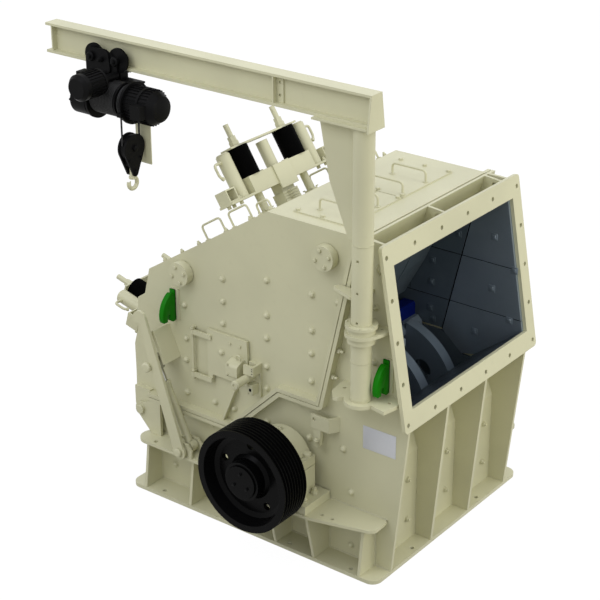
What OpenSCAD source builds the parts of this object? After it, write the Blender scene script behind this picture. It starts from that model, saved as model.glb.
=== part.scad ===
// Horizontal shaft impact crusher with a backward-opening rear frame and a service jib.
// X runs along the machine, towards the feed opening. Y is the rotor axis. Z is up.
// The origin is the centre of the base flange, on the floor.

/* [Frame] */
// Length of the lower frame over its end walls
frame_l = 1780; // [1760:10:2200]
// Width over the outer faces of the side plates
frame_w = 1360; // [1120:10:1700]
// Thickness of the side plates and end walls
plate_t = 20; // [16:1:24]
// Thickness of the base flange
base_t = 25; // [20:1:40]
// Height of the shelves that carry the bearings and lift cylinders
shelf_z = 385; // [360:5:420]
// Height of the ledge that the rear frame closes on
ledge_z = 650; // [630:5:670]
// Height of the flat roof
roof_z = 2196; // [2150:2:2260]
// Slope of the rear roof in degrees
roof_slope = 32.78; // [30:0.01:35]
// Gap between the fixed frame and the rear frame
split_gap = 6; // [5:1:10]

/* [Rotor] */
// Radius of the rotor discs
disc_r = 500; // [420:5:510]
// Radius over the tips of the blow bars
tip_r = 560; // [480:5:575]
// Radius of the rotor shaft
shaft_r = 80; // [60:1:95]
// Outer radius of the drive pulley
pulley_r = 341; // [280:1:400]
// Number of grooves in the drive pulley
pulley_grooves = 8; // [4:1:8]

/* [Feed opening] */
// Clear width of the feed opening
feed_w = 1320; // [1080:10:1660]
// Tilt of the feed flange from upright, in degrees
feed_tilt = 10; // [8:0.5:12]

/* [Rear frame] */
// Distance of the opening hinge behind the rotor axis
hinge_back = 1225; // [1215:5:1235]
// Height of the opening hinge
hinge_z = 542; // [536:1:548]

/* [Jib] */
// Diameter of the jib column
column_d = 125; // [100:1:140]
// Height of the underside of the jib beam
beam_z = 2945; // [2945:1:3100]
// Depth of the jib beam
beam_h = 188; // [150:1:240]
// Width of the jib beam's flanges
beam_w = 100; // [90:1:110]
// Reach of the jib beam behind its column
beam_reach = 2383; // [2300:1:2900]

/* [Hidden] */
$fn = 64;

// Frame
side_y = frame_w / 2;
in_y = side_y - plate_t;
liner_t = 20;
wall_x = frame_l / 2;
flange_reach = 60;
flange_t = 25;
shelf_t = 20;
base_y = side_y + 170;
base_x = wall_x + 120;

// Rotor
rotor_x = 235;
rotor_z = 625;
shaft_hole_r = shaft_r + 20;
disc_t = 80;
disc_ys = [-475, -158.5, 158.5, 475] * frame_w / 1360;
bar_half = in_y - liner_t - 10;
bar_t = 90;
bearing_y0 = side_y + 50;
bearing_len = 200;
pulley_y = side_y + 290;
pulley_w = 215;
fit_gap = 0.5;

// Split line between the fixed frame and the rear frame, as x at a given height
lip_z = 1035;
lip_x = 178;
ledge_x = -215;
seam_slope = 0.2287;
function seam_x(z) = 494 + seam_slope * (z - lip_z);

// Feed box
feed_o = [1136.8, 0, 1115.2];
flange_low = -50;
flange_high = 1112;
feed_low = 80;
feed_high = 976;
feed_out = side_y + 77;
function feed_at(v, back = 0) = [feed_o[0] - v * sin(feed_tilt) - back * cos(feed_tilt),
                                 feed_o[2] + v * cos(feed_tilt) - back * sin(feed_tilt)];
chute_lip = [750, 925];
chute_t = 30;
// Point at a given depth under the chute's surface, at its lip (0) or at the back of the feed flange (1)
chute_run = feed_at(feed_low, flange_t) - chute_lip;
chute_n = [-chute_run[1], chute_run[0]] / norm(chute_run);
flange_n = [cos(feed_tilt), sin(feed_tilt)];
function chute_at(k, depth) = chute_lip - depth * chute_n
    + k * (1 + depth * (chute_n * flange_n) / (chute_run * flange_n)) * chute_run;
chute_deep = chute_t + liner_t;
// Height where the feed end wall bends inwards, and where it meets the underside of the chute
wall_bend = 661;
wall_top_out = chute_at(0.06, chute_deep);

// Rear frame
hinge_x = rotor_x - hinge_back;
fold_x = 62;
eave = [-918, roof_z - (fold_x + 918) * tan(roof_slope)];
wall_knee = [-1075, 984];
rear_outline_low = [[-1055, ledge_z + split_gap], [-1076, ledge_z + 9], [-1073, 783]];
rear_shoulder = [[-1041, 1104], [-1027, 1334], [-963, 1380], [-940, 1472]];
front_pivot = [515, 2026];
rear_pivot = [-617, 1622];
pivot_r = 80;
liner_gap = 6;
rod_y = 235;
rod_r = 18;
outer_y = 380;
hook_pad_t = 10;
front_hook_x = 960;
rear_hook_x = -703;

// Jib and hoist
column_x = 860;
column_y = -side_y - 140;
column_foot = 1248;
beam_web = 10;
beam_flange = 16;
wheel_xs = [-1098, -902];
wheel_z = beam_z + 58;
hoist_y = column_y - 120;
hoist_z = beam_z - 159;
drum_r = 100;
rope_x = -735;
rope_y = column_y - 165;
rope_split = 75;
rope_top = hoist_z - 60;
block_z = beam_z - 427;

// Opening gear
arm_foot = [-546, 421];
arm_lean = 107.13;
arm_len = 930;
arm_y = side_y + 175;
arm_t = 20;
cyl_foot = [-525, 432];
cyl_y = side_y + 95;
lift_pin = [-787, 973];
pin_r = 20;

cream = [0.78, 0.76, 0.68];
steel = [0.34, 0.36, 0.40];
black = [0.10, 0.10, 0.11];
green = [0.10, 0.45, 0.25];
blue = [0.10, 0.30, 0.60];

// Outline in XZ made into a plate whose near face is at y0 and far face at y0 + t
module plate_xz(points, y0, t) {
    translate([0, y0 + t, 0]) rotate([90, 0, 0]) linear_extrude(t) polygon(points);
}

// Outline in XY made into a plate from z0 up
module plate_xy(points, z0, t) {
    translate([0, 0, z0]) linear_extrude(t) polygon(points);
}

// Outline of reach out from the near side plate against Z, made into a plate from x0 on
module plate_out(points, x0, t) {
    translate([x0, -side_y, 0]) rotate([90, 0, 90]) linear_extrude(t)
        polygon([for (p = points) [-p[0], p[1]]]);
}

// Box between two corners
module box(low, high) {
    translate(low) cube(high - low);
}

// Cylinder along Y from y0 to y1 about a point in XZ
module cyl_y(at, y0, y1, r) {
    translate([at[0], y1, at[1]]) rotate([90, 0, 0]) cylinder(h = y1 - y0, r = r);
}

// Cylinder along X from x0 to x1 about a point in YZ
module cyl_x(at, x0, x1, r) {
    translate([x0, at[0], at[1]]) rotate([0, 90, 0]) cylinder(h = x1 - x0, r = r);
}

// The children on the near side and mirrored on the far side
module both_sides() {
    children();
    mirror([0, 1, 0]) children();
}

// Points of an arc about c from angle a0 to a1
function arc(c, r, a0, a1, n = 8) = [for (i = [0:n])
    c + r * [cos(a0 + (a1 - a0) * i / n), sin(a0 + (a1 - a0) * i / n)]];

// Bar with round ends between two points in XZ
module link(a, b, r, y0, t) {
    n = [a[1] - b[1], b[0] - a[0]] / norm(b - a) * r;
    plate_xz([a - n, b - n, b + n, a + n], y0, t);
    cyl_y(a, y0, y0 + t, r);
    cyl_y(b, y0, y0 + t, r);
}

// ---------------------------------------------------------------- fixed frame

module base_flange() {
    corner_r = 70;
    hole_r = 15;
    color(cream) difference() {
        union() {
            box([-base_x + corner_r, -base_y, 0], [base_x - corner_r, base_y, base_t]);
            box([-base_x, -base_y + corner_r, 0], [base_x, base_y - corner_r, base_t]);
            for (x = [-base_x + corner_r, base_x - corner_r], y = [-base_y + corner_r, base_y - corner_r])
                translate([x, y, 0]) cylinder(h = base_t, r = corner_r);
        }
        box([-wall_x + 40, -in_y + 10, -1], [wall_x - 40, in_y - 10, base_t + 1]);
        for (x = [-744, -213, 317, 797], y = [-base_y + 45, base_y - 45])
            translate([x, y, -1]) cylinder(h = base_t + 2, r = hole_r);
        for (x = [-base_x + 43, base_x - 43], y = [-383, 383])
            translate([x, y, -1]) cylinder(h = base_t + 2, r = hole_r);
    }
}

fixed_side = concat(
    [[-wall_x, base_t], [base_x - 2, base_t], [1112, 1035], feed_at(flange_low, flange_t),
     feed_at(1100, flange_t), [feed_at(1100, flange_t)[0] - 60, roof_z + 1],
     [seam_x(roof_z), roof_z], [seam_x(lip_z), lip_z], [lip_x, lip_z], [ledge_x, ledge_z],
     [-wall_x, ledge_z]]);

module frame_side() {
    difference() {
        plate_xz(fixed_side, -side_y, plate_t);
        cyl_y([rotor_x, rotor_z], -side_y - 1, -in_y + 1, shaft_hole_r);
    }
    hook_pad(front_hook_x);
}

// Pad that a lifting hook is welded to
module hook_pad(x) {
    box([x - 30, -side_y - hook_pad_t, 1274], [x + 38, -side_y, 1490]);
}

// Hook plate on its pad, standing out from the side plate
module lifting_hook(x) {
    outline = concat(
        [[hook_pad_t, 1272], [hook_pad_t, 1484], [hook_pad_t + 10, 1484], [hook_pad_t + 10, 1474], [40, 1472]],
        arc([24, 1330], 114, 62, -6, 10),
        [[128, 1284], [92, 1282], [90, 1308]],
        arc([78, 1318], 12, 0, 180),
        [[66, 1286], [42, 1268], [30, 1268]]);
    plate_out(outline, x - 20, 36);
    box([x - 28, -side_y - hook_pad_t - 10, 1274], [x + 16, -side_y - hook_pad_t, 1484]);
}

module feed_end_wall() {
    color(cream) plate_xz([[wall_x, base_t], [wall_x, wall_bend], wall_top_out, chute_at(0, chute_deep),
                           [wall_x - plate_t, wall_bend - 4], [wall_x - plate_t, base_t]], -in_y, 2 * in_y);
}

module rear_end_wall() {
    color(cream) box([-wall_x, -in_y, base_t], [-wall_x + plate_t, in_y, ledge_z]);
}

module frame_ribs() {
    under = shelf_z - shelf_t;
    color(cream) {
        for (y = [-232, 208])
            plate_xz([[wall_x, base_t], [base_x - 2, base_t], [1100, 1035], feed_at(flange_low, flange_t),
                      chute_at(1, chute_deep), wall_top_out, [wall_x, wall_bend]], y, 24);
        both_sides() {
            // under the bearing shelf the ribs widen towards it
            for (x = [-110, 220, 522])
                plate_out([[0, base_t], [165, base_t], [245, under], [0, under]], x, plate_t);
            for (x = [-wall_x, -497, wall_x - plate_t])
                plate_out([[0, base_t], [165, base_t], [120, under], [0, under]], x, plate_t);
        }
    }
}

module bearing_shelves() {
    edge = -side_y - 275;
    points = concat(
        [[-116, -side_y], [-116, edge + 20], [-96, edge], [556, edge]],
        arc([928, -side_y - 116], 62, 285, 350, 6), [[985, -side_y - 20], [960, -side_y]]);
    color(cream) both_sides() difference() {
        plate_xy(points, shelf_z - shelf_t, shelf_t);
        for (x = [622, 701])
            translate([x, -side_y - 195, shelf_z - shelf_t - 1]) cylinder(h = shelf_t + 2, r = 11);
    }
}

module lift_shelves() {
    lug_z = shelf_z + 92;
    outline = concat([[-612, shelf_z], [-612, shelf_z + 30], [-590, lug_z]], [[-500, lug_z]],
                     [[-462, shelf_z + 50], [-462, shelf_z]]);
    color(cream) both_sides() {
        difference() {
            union() {
                box([-870, -base_y, shelf_z - shelf_t], [-116, -side_y, shelf_z]);
                translate([-870, -side_y - 85, shelf_z - shelf_t]) cylinder(h = shelf_t, r = 85);
            }
            translate([-800, -side_y - 130, shelf_z - shelf_t - 1]) cylinder(h = shelf_t + 2, r = 15);
        }
        // lugs that hold the pins of the prop bar and the lift cylinder
        for (y = [-side_y - 164, -side_y - 58])
            plate_xz(outline, y, 18);
        cyl_y(cyl_foot, -side_y - 164, -side_y - 40, pin_r);
        cyl_y(arm_foot, -arm_y - arm_t - 12, -side_y - 164, 22);
    }
}

module split_flanges_fixed() {
    t = flange_t;
    fillet = 60;
    corner = [seam_x(lip_z - t) + t, lip_z - t];
    rise = [seam_slope, 1] / norm([seam_slope, 1]);
    color(cream) both_sides() {
        plate_xz([[-918, ledge_z - t], [ledge_x + 10, ledge_z - t], [lip_x + 10, lip_z - t],
                  corner - [fillet, 0], corner - [fillet * 0.3, fillet * -0.1], corner + fillet * 0.4 * rise,
                  corner + fillet * rise, [seam_x(roof_z) + t, roof_z], [seam_x(roof_z), roof_z],
                  [seam_x(lip_z), lip_z], [lip_x, lip_z], [ledge_x, ledge_z], [-918, ledge_z]],
                 -side_y - flange_reach, flange_reach);
    }
}

module hinge_ears() {
    ear = concat([[-820, shelf_z], [-820, ledge_z - flange_t], [-905, ledge_z - flange_t]],
                 arc([hinge_x, hinge_z], 50, 75, 245), [[-905, shelf_z]]);
    color(cream) both_sides() {
        difference() {
            plate_xz([[-wall_x, 380], [-wall_x, 620], [-960, 620], [-1040, 575], [-1050, 520], [-1000, 470],
                      [-wall_x - 20, 380]], -side_y, plate_t);
            cyl_y([hinge_x, hinge_z], -side_y - 1, -in_y + 1, 30);
        }
        plate_xz(ear, -side_y - 60, 22);
        cyl_y([hinge_x, hinge_z], -side_y - 72, -in_y, 30);
    }
}

module feed_hood() {
    front = feed_at(1100, flange_t);
    floor_front = feed_at(feed_high + 30, flange_t);
    floor_back = [seam_x(2060) + 20, 2080];
    color(cream) {
        // pocket floor over the feed opening and the cross plate along the split
        plate_xz([floor_front - [0, 20], floor_front, floor_back, [seam_x(roof_z) + 20, roof_z],
                  [seam_x(roof_z), roof_z], floor_back - [25, 20]], -in_y, 2 * in_y);
        for (y = [-in_y, -33, in_y - 40]) difference() {
            plate_xz([floor_front, front - [2, 12], [seam_x(roof_z) + 20, roof_z], floor_back], y, 20);
            cyl_y([855, 2145], y - 1, y + 21, 22);
        }
    }
}

module feed_flange() {
    pitch_y = 287.8 * feed_w / 1320;
    pitch_z = 259.5;
    hole_r = 14;
    corner = 28;
    color(cream) translate(feed_o) rotate([0, -feed_tilt, 0]) difference() {
        union() {
            box([-flange_t, -feed_out, flange_low + corner], [0, feed_out, flange_high - corner]);
            box([-flange_t, -feed_out + corner, flange_low], [0, feed_out - corner, flange_high]);
            for (y = [-feed_out + corner, feed_out - corner], z = [flange_low + corner, flange_high - corner])
                translate([-flange_t, y, z]) rotate([0, 90, 0]) cylinder(h = flange_t, r = corner);
        }
        box([-flange_t - 1, -feed_w / 2, feed_low], [1, feed_w / 2, feed_high]);
        for (y = [-2.5:2.5], z = [0, 4]) flange_hole(y * pitch_y, z * pitch_z, hole_r);
        for (y = [-2.5, 2.5], z = [1:3]) flange_hole(y * pitch_y, z * pitch_z, hole_r);
    }
}

module flange_hole(y, z, r) {
    translate([-flange_t - 1, y, z]) rotate([0, 90, 0]) cylinder(h = flange_t + 2, r = r);
}

module chute_floor() {
    color(cream) plate_xz([chute_at(0, liner_t), chute_at(1, liner_t), chute_at(1, chute_deep),
                           chute_at(0, chute_deep)], -in_y, 2 * in_y);
}

module chute_liner() {
    gap = 8;
    w = (2 * in_y - 2 * liner_t - 3 * gap) / 4;
    color(steel) for (i = [0:3])
        plate_xz([chute_at(0, 0), chute_at(1, 0), chute_at(1, liner_t), chute_at(0, liner_t)],
                 -in_y + liner_t + i * (w + gap), w);
}

module feed_liners() {
    outline = [chute_at(0, 0), chute_at(1, 0), feed_at(feed_high - 10, flange_t),
               [seam_x(2040) + 2, 2040], [seam_x(lip_z) + 2, lip_z], [650, 900]];
    color(steel) both_sides() difference() {
        plate_xz(outline, -in_y, liner_t);
        for (z = [1260, 1606])
            liner_seam([0, z], [1300, z]);
    }
}

// Gap between two side liners, along a line from a to b
module liner_seam(a, b) {
    n = [a[1] - b[1], b[0] - a[0]] / norm(b - a) * liner_gap / 2;
    plate_xz([a - n, b - n, b + n, a + n], -in_y - 1, liner_t + 2);
}

module bearing_body() {
    half = 225;
    foot = 310;
    bolt_out = 255;
    y0 = -bearing_y0 - bearing_len;
    y1 = -bearing_y0;
    foot_z = shelf_z + 57;
    color(cream) difference() {
        union() {
            plate_xz(concat([[rotor_x - half, foot_z - 10], [rotor_x + half, foot_z - 10],
                             [rotor_x + half, rotor_z + 63], [rotor_x + half - 60, rotor_z + 63]],
                            arc([rotor_x, rotor_z], 198, 20, 160, 24),
                            [[rotor_x - half + 60, rotor_z + 63], [rotor_x - half, rotor_z + 63]]),
                     y0, bearing_len);
            box([rotor_x - foot, y0 - 15, shelf_z], [rotor_x + foot, y1 + 40, foot_z]);
            // seal covers on both faces
            cyl_y([rotor_x, rotor_z], y0 - 22, y0, 150);
            cyl_y([rotor_x, rotor_z], y1, y1 + 22, 150);
        }
        // joint line between base and cap, hollow flanks under the cap bolts, foot bolt holes
        for (s = [-1, 1]) {
            box([rotor_x + s * 212 - 14, y0 - 1, rotor_z - 2], [rotor_x + s * 212 + 14, y1 + 1, rotor_z + 2]);
            for (y = [y0 + 45, y1 - 45])
                translate([rotor_x + s * bolt_out, y, shelf_z - 1]) cylinder(h = 60, r = 16);
        }
        cyl_y([rotor_x, rotor_z], y0 - 30, y1 + 30, shaft_r + fit_gap);
    }
}

// Bracket plate with a seat bored for the jib column
module jib_plate(z0, t, left, right, bore_from) {
    difference() {
        union() {
            plate_xy([[column_x - left, -side_y], [column_x - 90, column_y - 20], [column_x - 40, column_y - 66],
                      [column_x + 60, column_y - 62], [column_x + 100, column_y - 20],
                      [column_x + right, -side_y]], z0, t);
            translate([column_x, column_y, z0]) cylinder(h = t, r = 100);
        }
        translate([column_x, column_y, bore_from]) cylinder(h = 200, r = column_d / 2 + fit_gap);
    }
}

module jib_bracket_lower() {
    difference() {
        union() {
            jib_plate(column_foot - 25, 25, 150, 100, column_foot - 13);
            plate_xy([[640, -side_y], [660, column_y - 10], [712, column_y - 76], [740, column_y - 70],
                      [column_x - 60, column_y], [1060, column_y - 50], [1082, column_y + 60], [1055, -side_y]],
                     column_foot - 25, 25);
        }
        for (x = [704, 1028])
            translate([x, column_y + 58, column_foot - 26]) cylinder(h = 27, r = 11);
        translate([column_x, column_y, column_foot - 13]) cylinder(h = 20, r = column_d / 2 + fit_gap);
    }
}

module jib_bracket_upper() {
    sleeve_low = 1625;
    sleeve_top = 1722;
    difference() {
        union() {
            jib_plate(1667, 22, 172, 145, 1500);
            // sleeve with its collar
            translate([column_x, column_y, sleeve_low]) cylinder(h = sleeve_top - sleeve_low, r = 84);
            translate([column_x, column_y, sleeve_top]) cylinder(h = 20, r = 97);
            // steady plate behind the column, clear of the rear frame's flange
            plate_xy(concat([[738, -side_y], [738, -side_y - 70], [650, -side_y - 70]],
                            arc([654, -side_y - 98], 20, 190, 250, 4),
                            [[792, -side_y - 172], [848, -side_y - 150], [848, -side_y]]), 1882, 22);
        }
        translate([column_x, column_y, 1500]) cylinder(h = 500, r = column_d / 2 + fit_gap);
        translate([column_x + 80, column_y + 92, 1600]) cylinder(h = 200, r = 11);
    }
}

module frame_clamps() {
    out = -side_y - 62;
    color(cream) both_sides() {
        // bent strap standing on the side plate
        difference() {
            plate_xy([[437, out], [572, out], [612, -side_y], [596, -side_y], [560, out + 12], [437, out + 12]],
                     878, 98);
            cyl_y([460, 944], out - 1, out + 13, 12);
        }
        // wedge arm under the strap
        plate_xz([[456, 880], [510, 880], [500, 770], [484, 748], [462, 752], [456, 770]], out + 2, 30);
    }
}

module lifting_lugs_front() {
    color(green) both_sides() lifting_hook(front_hook_x);
}

// ---------------------------------------------------------------- rotor

module rotor_shaft() {
    color(steel) cyl_y([rotor_x, rotor_z], -pulley_y - pulley_w + 15, bearing_y0 + bearing_len + 27, shaft_r);
}

module rotor_discs() {
    pocket = disc_r - 96;
    color(steel) translate([rotor_x, 0, rotor_z]) {
        difference() {
            union() {
                for (y = disc_ys)
                    cyl_y([0, 0], y - disc_t / 2, y + disc_t / 2, disc_r);
                cyl_y([0, 0], disc_ys[0], disc_ys[3], shaft_r + 60);
            }
            cyl_y([0, 0], -side_y, side_y, shaft_r);
            for (a = [0:90:270]) rotate([0, a, 0]) {
                box([-bar_t / 2, -side_y, pocket], [bar_t / 2 + 60, side_y, tip_r]);
                // hollows between the bars
                rotate([0, 52, 0]) cyl_y([0, 300], -side_y, side_y, 70);
            }
        }
        // backing bars with their chamfers
        for (a = [0:90:270]) rotate([0, a, 0])
            plate_xz([[bar_t / 2, pocket], [bar_t / 2 + 60, pocket], [bar_t / 2 + 60, pocket + 30],
                      [bar_t / 2 + 26, pocket + 62], [bar_t / 2, pocket + 62]], -bar_half, 2 * bar_half);
    }
}

module blow_bars() {
    top = sqrt(tip_r * tip_r - bar_t * bar_t / 4);
    color(blue) translate([rotor_x, 0, rotor_z]) for (a = [0:90:270]) rotate([0, a, 0])
        plate_xz([[-bar_t / 2, disc_r - 96], [bar_t / 2, disc_r - 96], [bar_t / 2, top - 12],
                  [bar_t / 2 - 12, top], [-bar_t / 2, top]], -bar_half, 2 * bar_half);
}

module drive_pulley() {
    pitch = 25.5;
    rim_in = pulley_r - 45;
    hub_r = 130;
    web_t = 30;
    web_y = 90;
    grooves = [for (i = [0:pulley_grooves - 1]) each [[pulley_r, 8 + i * pitch], [pulley_r - 19, 14 + i * pitch],
               [pulley_r - 19, 22 + i * pitch], [pulley_r, 28 + i * pitch]]];
    color(black) translate([rotor_x, -pulley_y, rotor_z]) rotate([90, 0, 0]) difference() {
        rotate_extrude($fn = 96) polygon(concat(
            [[shaft_r, 20], [hub_r, 20], [hub_r, web_y], [rim_in - 20, web_y], [rim_in, 0], [pulley_r, 0]], grooves,
            [[pulley_r, pulley_w], [rim_in, pulley_w], [rim_in - 20, web_y + web_t + 14],
             [rim_in - 50, web_y + web_t], [hub_r + 20, web_y + web_t], [hub_r, web_y + web_t + 20],
             [hub_r, pulley_w - 15], [108, pulley_w - 15], [108, pulley_w + 5], [0, pulley_w + 5],
             [0, pulley_w - 15], [shaft_r, pulley_w - 15]]));
        for (a = [18:72:306]) rotate(a) translate([212, 0, -1]) cylinder(h = pulley_w + 2, r = 25);
    }
}

// ---------------------------------------------------------------- rear frame

rear_outline = concat(
    [[ledge_x - 4, ledge_z + split_gap]], rear_outline_low, [wall_knee], rear_shoulder, [eave, [fold_x, roof_z],
    [seam_x(roof_z) - split_gap, roof_z], [seam_x(lip_z + split_gap) - split_gap, lip_z + split_gap],
    [lip_x - 4, lip_z + split_gap]]);
door_pin = [-540, -side_y - 25];
door_cut = [[-400, 985], [-110, 985], [-110, 1280], [-400, 1280]];

module rear_side() {
    difference() {
        plate_xz(rear_outline, -side_y, plate_t);
        plate_xz(door_cut, -side_y - 1, plate_t + 2);
    }
    ear_top = ledge_z + 40;
    ear = concat([[-1060, ear_top], [-1060, 560]], arc([hinge_x, hinge_z], 62, 200, 340, 10),
                 [[-925, 560], [-925, ear_top]]);
    difference() {
        union() {
            plate_xz(ear, -side_y - 35, 29);
            plate_xz([[-1060, ear_top], [-1060, ledge_z + 10], [-925, ledge_z + 10], [-925, ear_top]], -side_y - 6, 6);
        }
        cyl_y([hinge_x, hinge_z], -side_y - 40, -side_y + 1, 30 + fit_gap);
    }
    hook_pad(rear_hook_x);
    // pin of the inspection door and the four ears that hold it
    translate([door_pin[0], door_pin[1], 900]) cylinder(h = 372, r = 8.5);
    for (z = [905, 953, 1209, 1257])
        box([door_pin[0] - 14, door_pin[1] - 14, z], [door_pin[0] + 14, -side_y, z + 10]);
    // keeper block, switch and lock barrel beside the door's free edge
    difference() {
        box([-74, -side_y - 88, 1100], [6, -side_y, 1164]);
        box([-75, -side_y - 70, 1116], [-12, -side_y - 30, 1165]);
    }
    box([-66, -side_y - 18, 930], [8, -side_y, 1100]);
    box([-50, -side_y - 78, 960], [-8, -side_y, 1030]);
    cyl_y([-54, 1070], -side_y - 190, -side_y, 28);
    // stiffener below the door
    rib_foot = ledge_z + split_gap + flange_t;
    plate_xz([[-200, 923], [-185, 923], [-285, rib_foot], [-300, rib_foot]], -side_y - 40, 40);
}

module rear_roof() {
    slope_t = 20;
    fold = [fold_x, roof_z];
    s = [-cos(roof_slope), -sin(roof_slope)];
    n = [-sin(roof_slope), cos(roof_slope)];
    run = norm(eave - fold) - 30;
    edge_x = seam_x(roof_z) - split_gap - 6;
    cover_t = 8;
    color(cream) {
        plate_xz([fold, fold + run * s, fold + run * s - slope_t * n, [fold_x + 5, roof_z - 24],
                  [edge_x, roof_z - 24], [edge_x, roof_z]], -in_y, 2 * in_y);
        // two service covers on the flat roof, and two stop ribs on the slope
        box([188, -585, roof_z], [586, -24, roof_z + cover_t]);
        box([188, -16, roof_z], [586, 545, roof_z + cover_t]);
    }
}

wall_in = 26;
wall_top = eave + [wall_in - 2, -40];
wall_mid = wall_knee + [wall_in - 1, -7];
module rear_wall() {
    color(cream) plate_xz([wall_top, wall_mid, [-1048, ledge_z + split_gap], [-1028, ledge_z + split_gap],
                           wall_mid + [plate_t, 0], wall_top + [plate_t, -14]], -in_y, 2 * in_y);
}

module split_flanges_rear() {
    g = split_gap;
    t = flange_t;
    color(cream) both_sides() plate_xz(
        [[-925, ledge_z + g], [ledge_x - 4, ledge_z + g], [lip_x - 4, lip_z + g],
         [seam_x(lip_z + g) - g, lip_z + g], [seam_x(roof_z) - g, roof_z], [seam_x(roof_z) - g - t, roof_z],
         [seam_x(lip_z + g + t) - g - t, lip_z + g + t], [lip_x - 14, lip_z + g + t],
         [ledge_x - 14, ledge_z + g + t], [-925, ledge_z + g + t]], -side_y - flange_reach, flange_reach);
}

module rear_liners() {
    points = [[ledge_x - 14, ledge_z + 20], [-1000, ledge_z + 20], [-1010, 900], [-870, 1490], [40, roof_z - 60],
              [seam_x(roof_z - 60) - 9, roof_z - 60], [seam_x(lip_z + 10) - 9, lip_z + 10],
              [lip_x - 14, lip_z + 10]];
    color(steel) both_sides() difference() {
        plate_xz(points, -in_y, liner_t);
        plate_xz(door_cut, -in_y - 1, liner_t + 2);
        cyl_y(front_pivot, -in_y - 1, -in_y + liner_t + 1, 62);
        cyl_y(rear_pivot, -in_y - 1, -in_y + liner_t + 1, 62);
        for (z = [1260, 1606])
            liner_seam([-1100, z], [700, z]);
        for (x = [-160, 227])
            liner_seam([x, 1260], [x, 1606]);
        liner_seam([-460, 600], [-460, 1260]);
        liner_seam([140, 1606], [140, 2200]);
    }
}

module pivot_caps() {
    color(cream) both_sides() for (p = [front_pivot, rear_pivot]) {
        cyl_y(p, -side_y - 5, -side_y, pivot_r - 6);
        cyl_y(p, -side_y - 62, -side_y - 5, pivot_r);
    }
}

// Impact curtain: a shaft that hangs a ribbed wall of liners
module curtain(pivot, face) {
    ribs = 5;
    reach = in_y - liner_t - 8;
    color(steel) {
        cyl_y(pivot, -in_y, in_y, 60);
        difference() {
            plate_xz(face, -reach, 2 * reach);
            cyl_y(pivot, -in_y, in_y, 60);
            // slots between the liners
            for (i = [1:ribs - 1])
                translate([0, -reach + i * 2 * reach / ribs - 4, 0]) box([-800, 0, 700], [800, 8, pivot[1] - 160]);
        }
    }
}

module front_curtain() {
    curtain(front_pivot, [[515, 2085], [568, 2000], [340, 1500], [190, 1232], [150, 1228], [120, 1262],
                          [200, 1560], [440, 2055]]);
}

module rear_curtain() {
    curtain(rear_pivot, [[-617, 1682], [-560, 1622], [-420, 1250], [-340, 840], [-370, 800], [-440, 810],
                         [-560, 1200], [-672, 1590]]);
}

// Adjuster across a plate: local X up the plate, Y across, Z outward from the plate
module adjuster() {
    color(cream) {
        for (y = [-rod_y, rod_y]) translate([0, y, 0]) {
            difference() {
                union() {
                    cylinder(h = 130, r = 27);
                    cylinder(h = 12, r = 46);
                }
                translate([0, 0, -1]) cylinder(h = 132, r = rod_r + fit_gap);
            }
            cylinder(h = 609, r = rod_r);
            // stacked nuts
            translate([0, 0, 462]) cylinder(h = 30, r = 33, $fn = 6);
            translate([0, 0, 492]) cylinder(h = 34, r = 28, $fn = 6);
        }
        // lower plate, cross beam and the bar over the springs
        box([-62, -545, 130], [62, 545, 145]);
        box([-62, -312, 145], [62, 312, 250]);
        box([-50, -332, 450], [50, 332, 462]);
        // plate lapped over the middle of the cross beam
        box([62, -80, 92], [74, 86, 252]);
        // square tubes at the ends
        for (s = [-1, 1]) translate([0, s * 500, 0]) difference() {
            box([-50, -45, 145], [50, 45, 232]);
            box([-51, -35, 155], [51, 35, 222]);
        }
        // stepped shim pack under the middle
        difference() {
            union() {
                box([-50, -75, 0], [50, 75, 70]);
                box([-40, -62, 70], [40, 62, 130]);
            }
            for (z = [18, 36, 54], x = [-50, 50])
                translate([x, 0, z]) cube([8, 160, 4], center = true);
        }
    }
}

module adjuster_springs() {
    color(black) for (y = [-rod_y, rod_y]) translate([0, y, 250]) difference() {
        cylinder(h = 200, r = 75);
        translate([0, 0, -1]) cylinder(h = 202, r = rod_r + fit_gap);
    }
}

module adjuster_cylinders() {
    color(cream) {
        for (y = [-outer_y, outer_y]) translate([0, y, 145]) cylinder(h = 292, r = 47);
        translate([0, 0, 250]) cylinder(h = 176, r = 40);
    }
}

module on_roof() {
    translate([fold_x - 425 * cos(roof_slope), 0, roof_z - 425 * sin(roof_slope)]) rotate([0, -roof_slope, 0])
        children();
}

module on_wall() {
    lean = atan2(wall_mid[0] - wall_top[0], wall_mid[1] - wall_top[1]);
    at = wall_top + (wall_mid - wall_top) * 0.97;
    translate([at[0], 0, at[1]]) rotate([0, lean + 90, 0]) children();
}

module lifting_lugs_rear() {
    color(green) both_sides() lifting_hook(rear_hook_x);
}

module lift_brackets() {
    color(cream) both_sides() {
        // plate bent out from the side plate, above the pin
        plate_xz([[-784, 1211], [-690, 1000], [-670, 1008], [-764, 1219]], -side_y - 152, 152);
        // pin that the cylinder pushes and the prop bar catches
        cyl_y(lift_pin, -side_y - 200, -side_y, pin_r);
        cyl_y(lift_pin, -side_y - 210, -side_y - 200, 34);
        cyl_y(lift_pin, -side_y - 56, -side_y, 40);
    }
}

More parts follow.
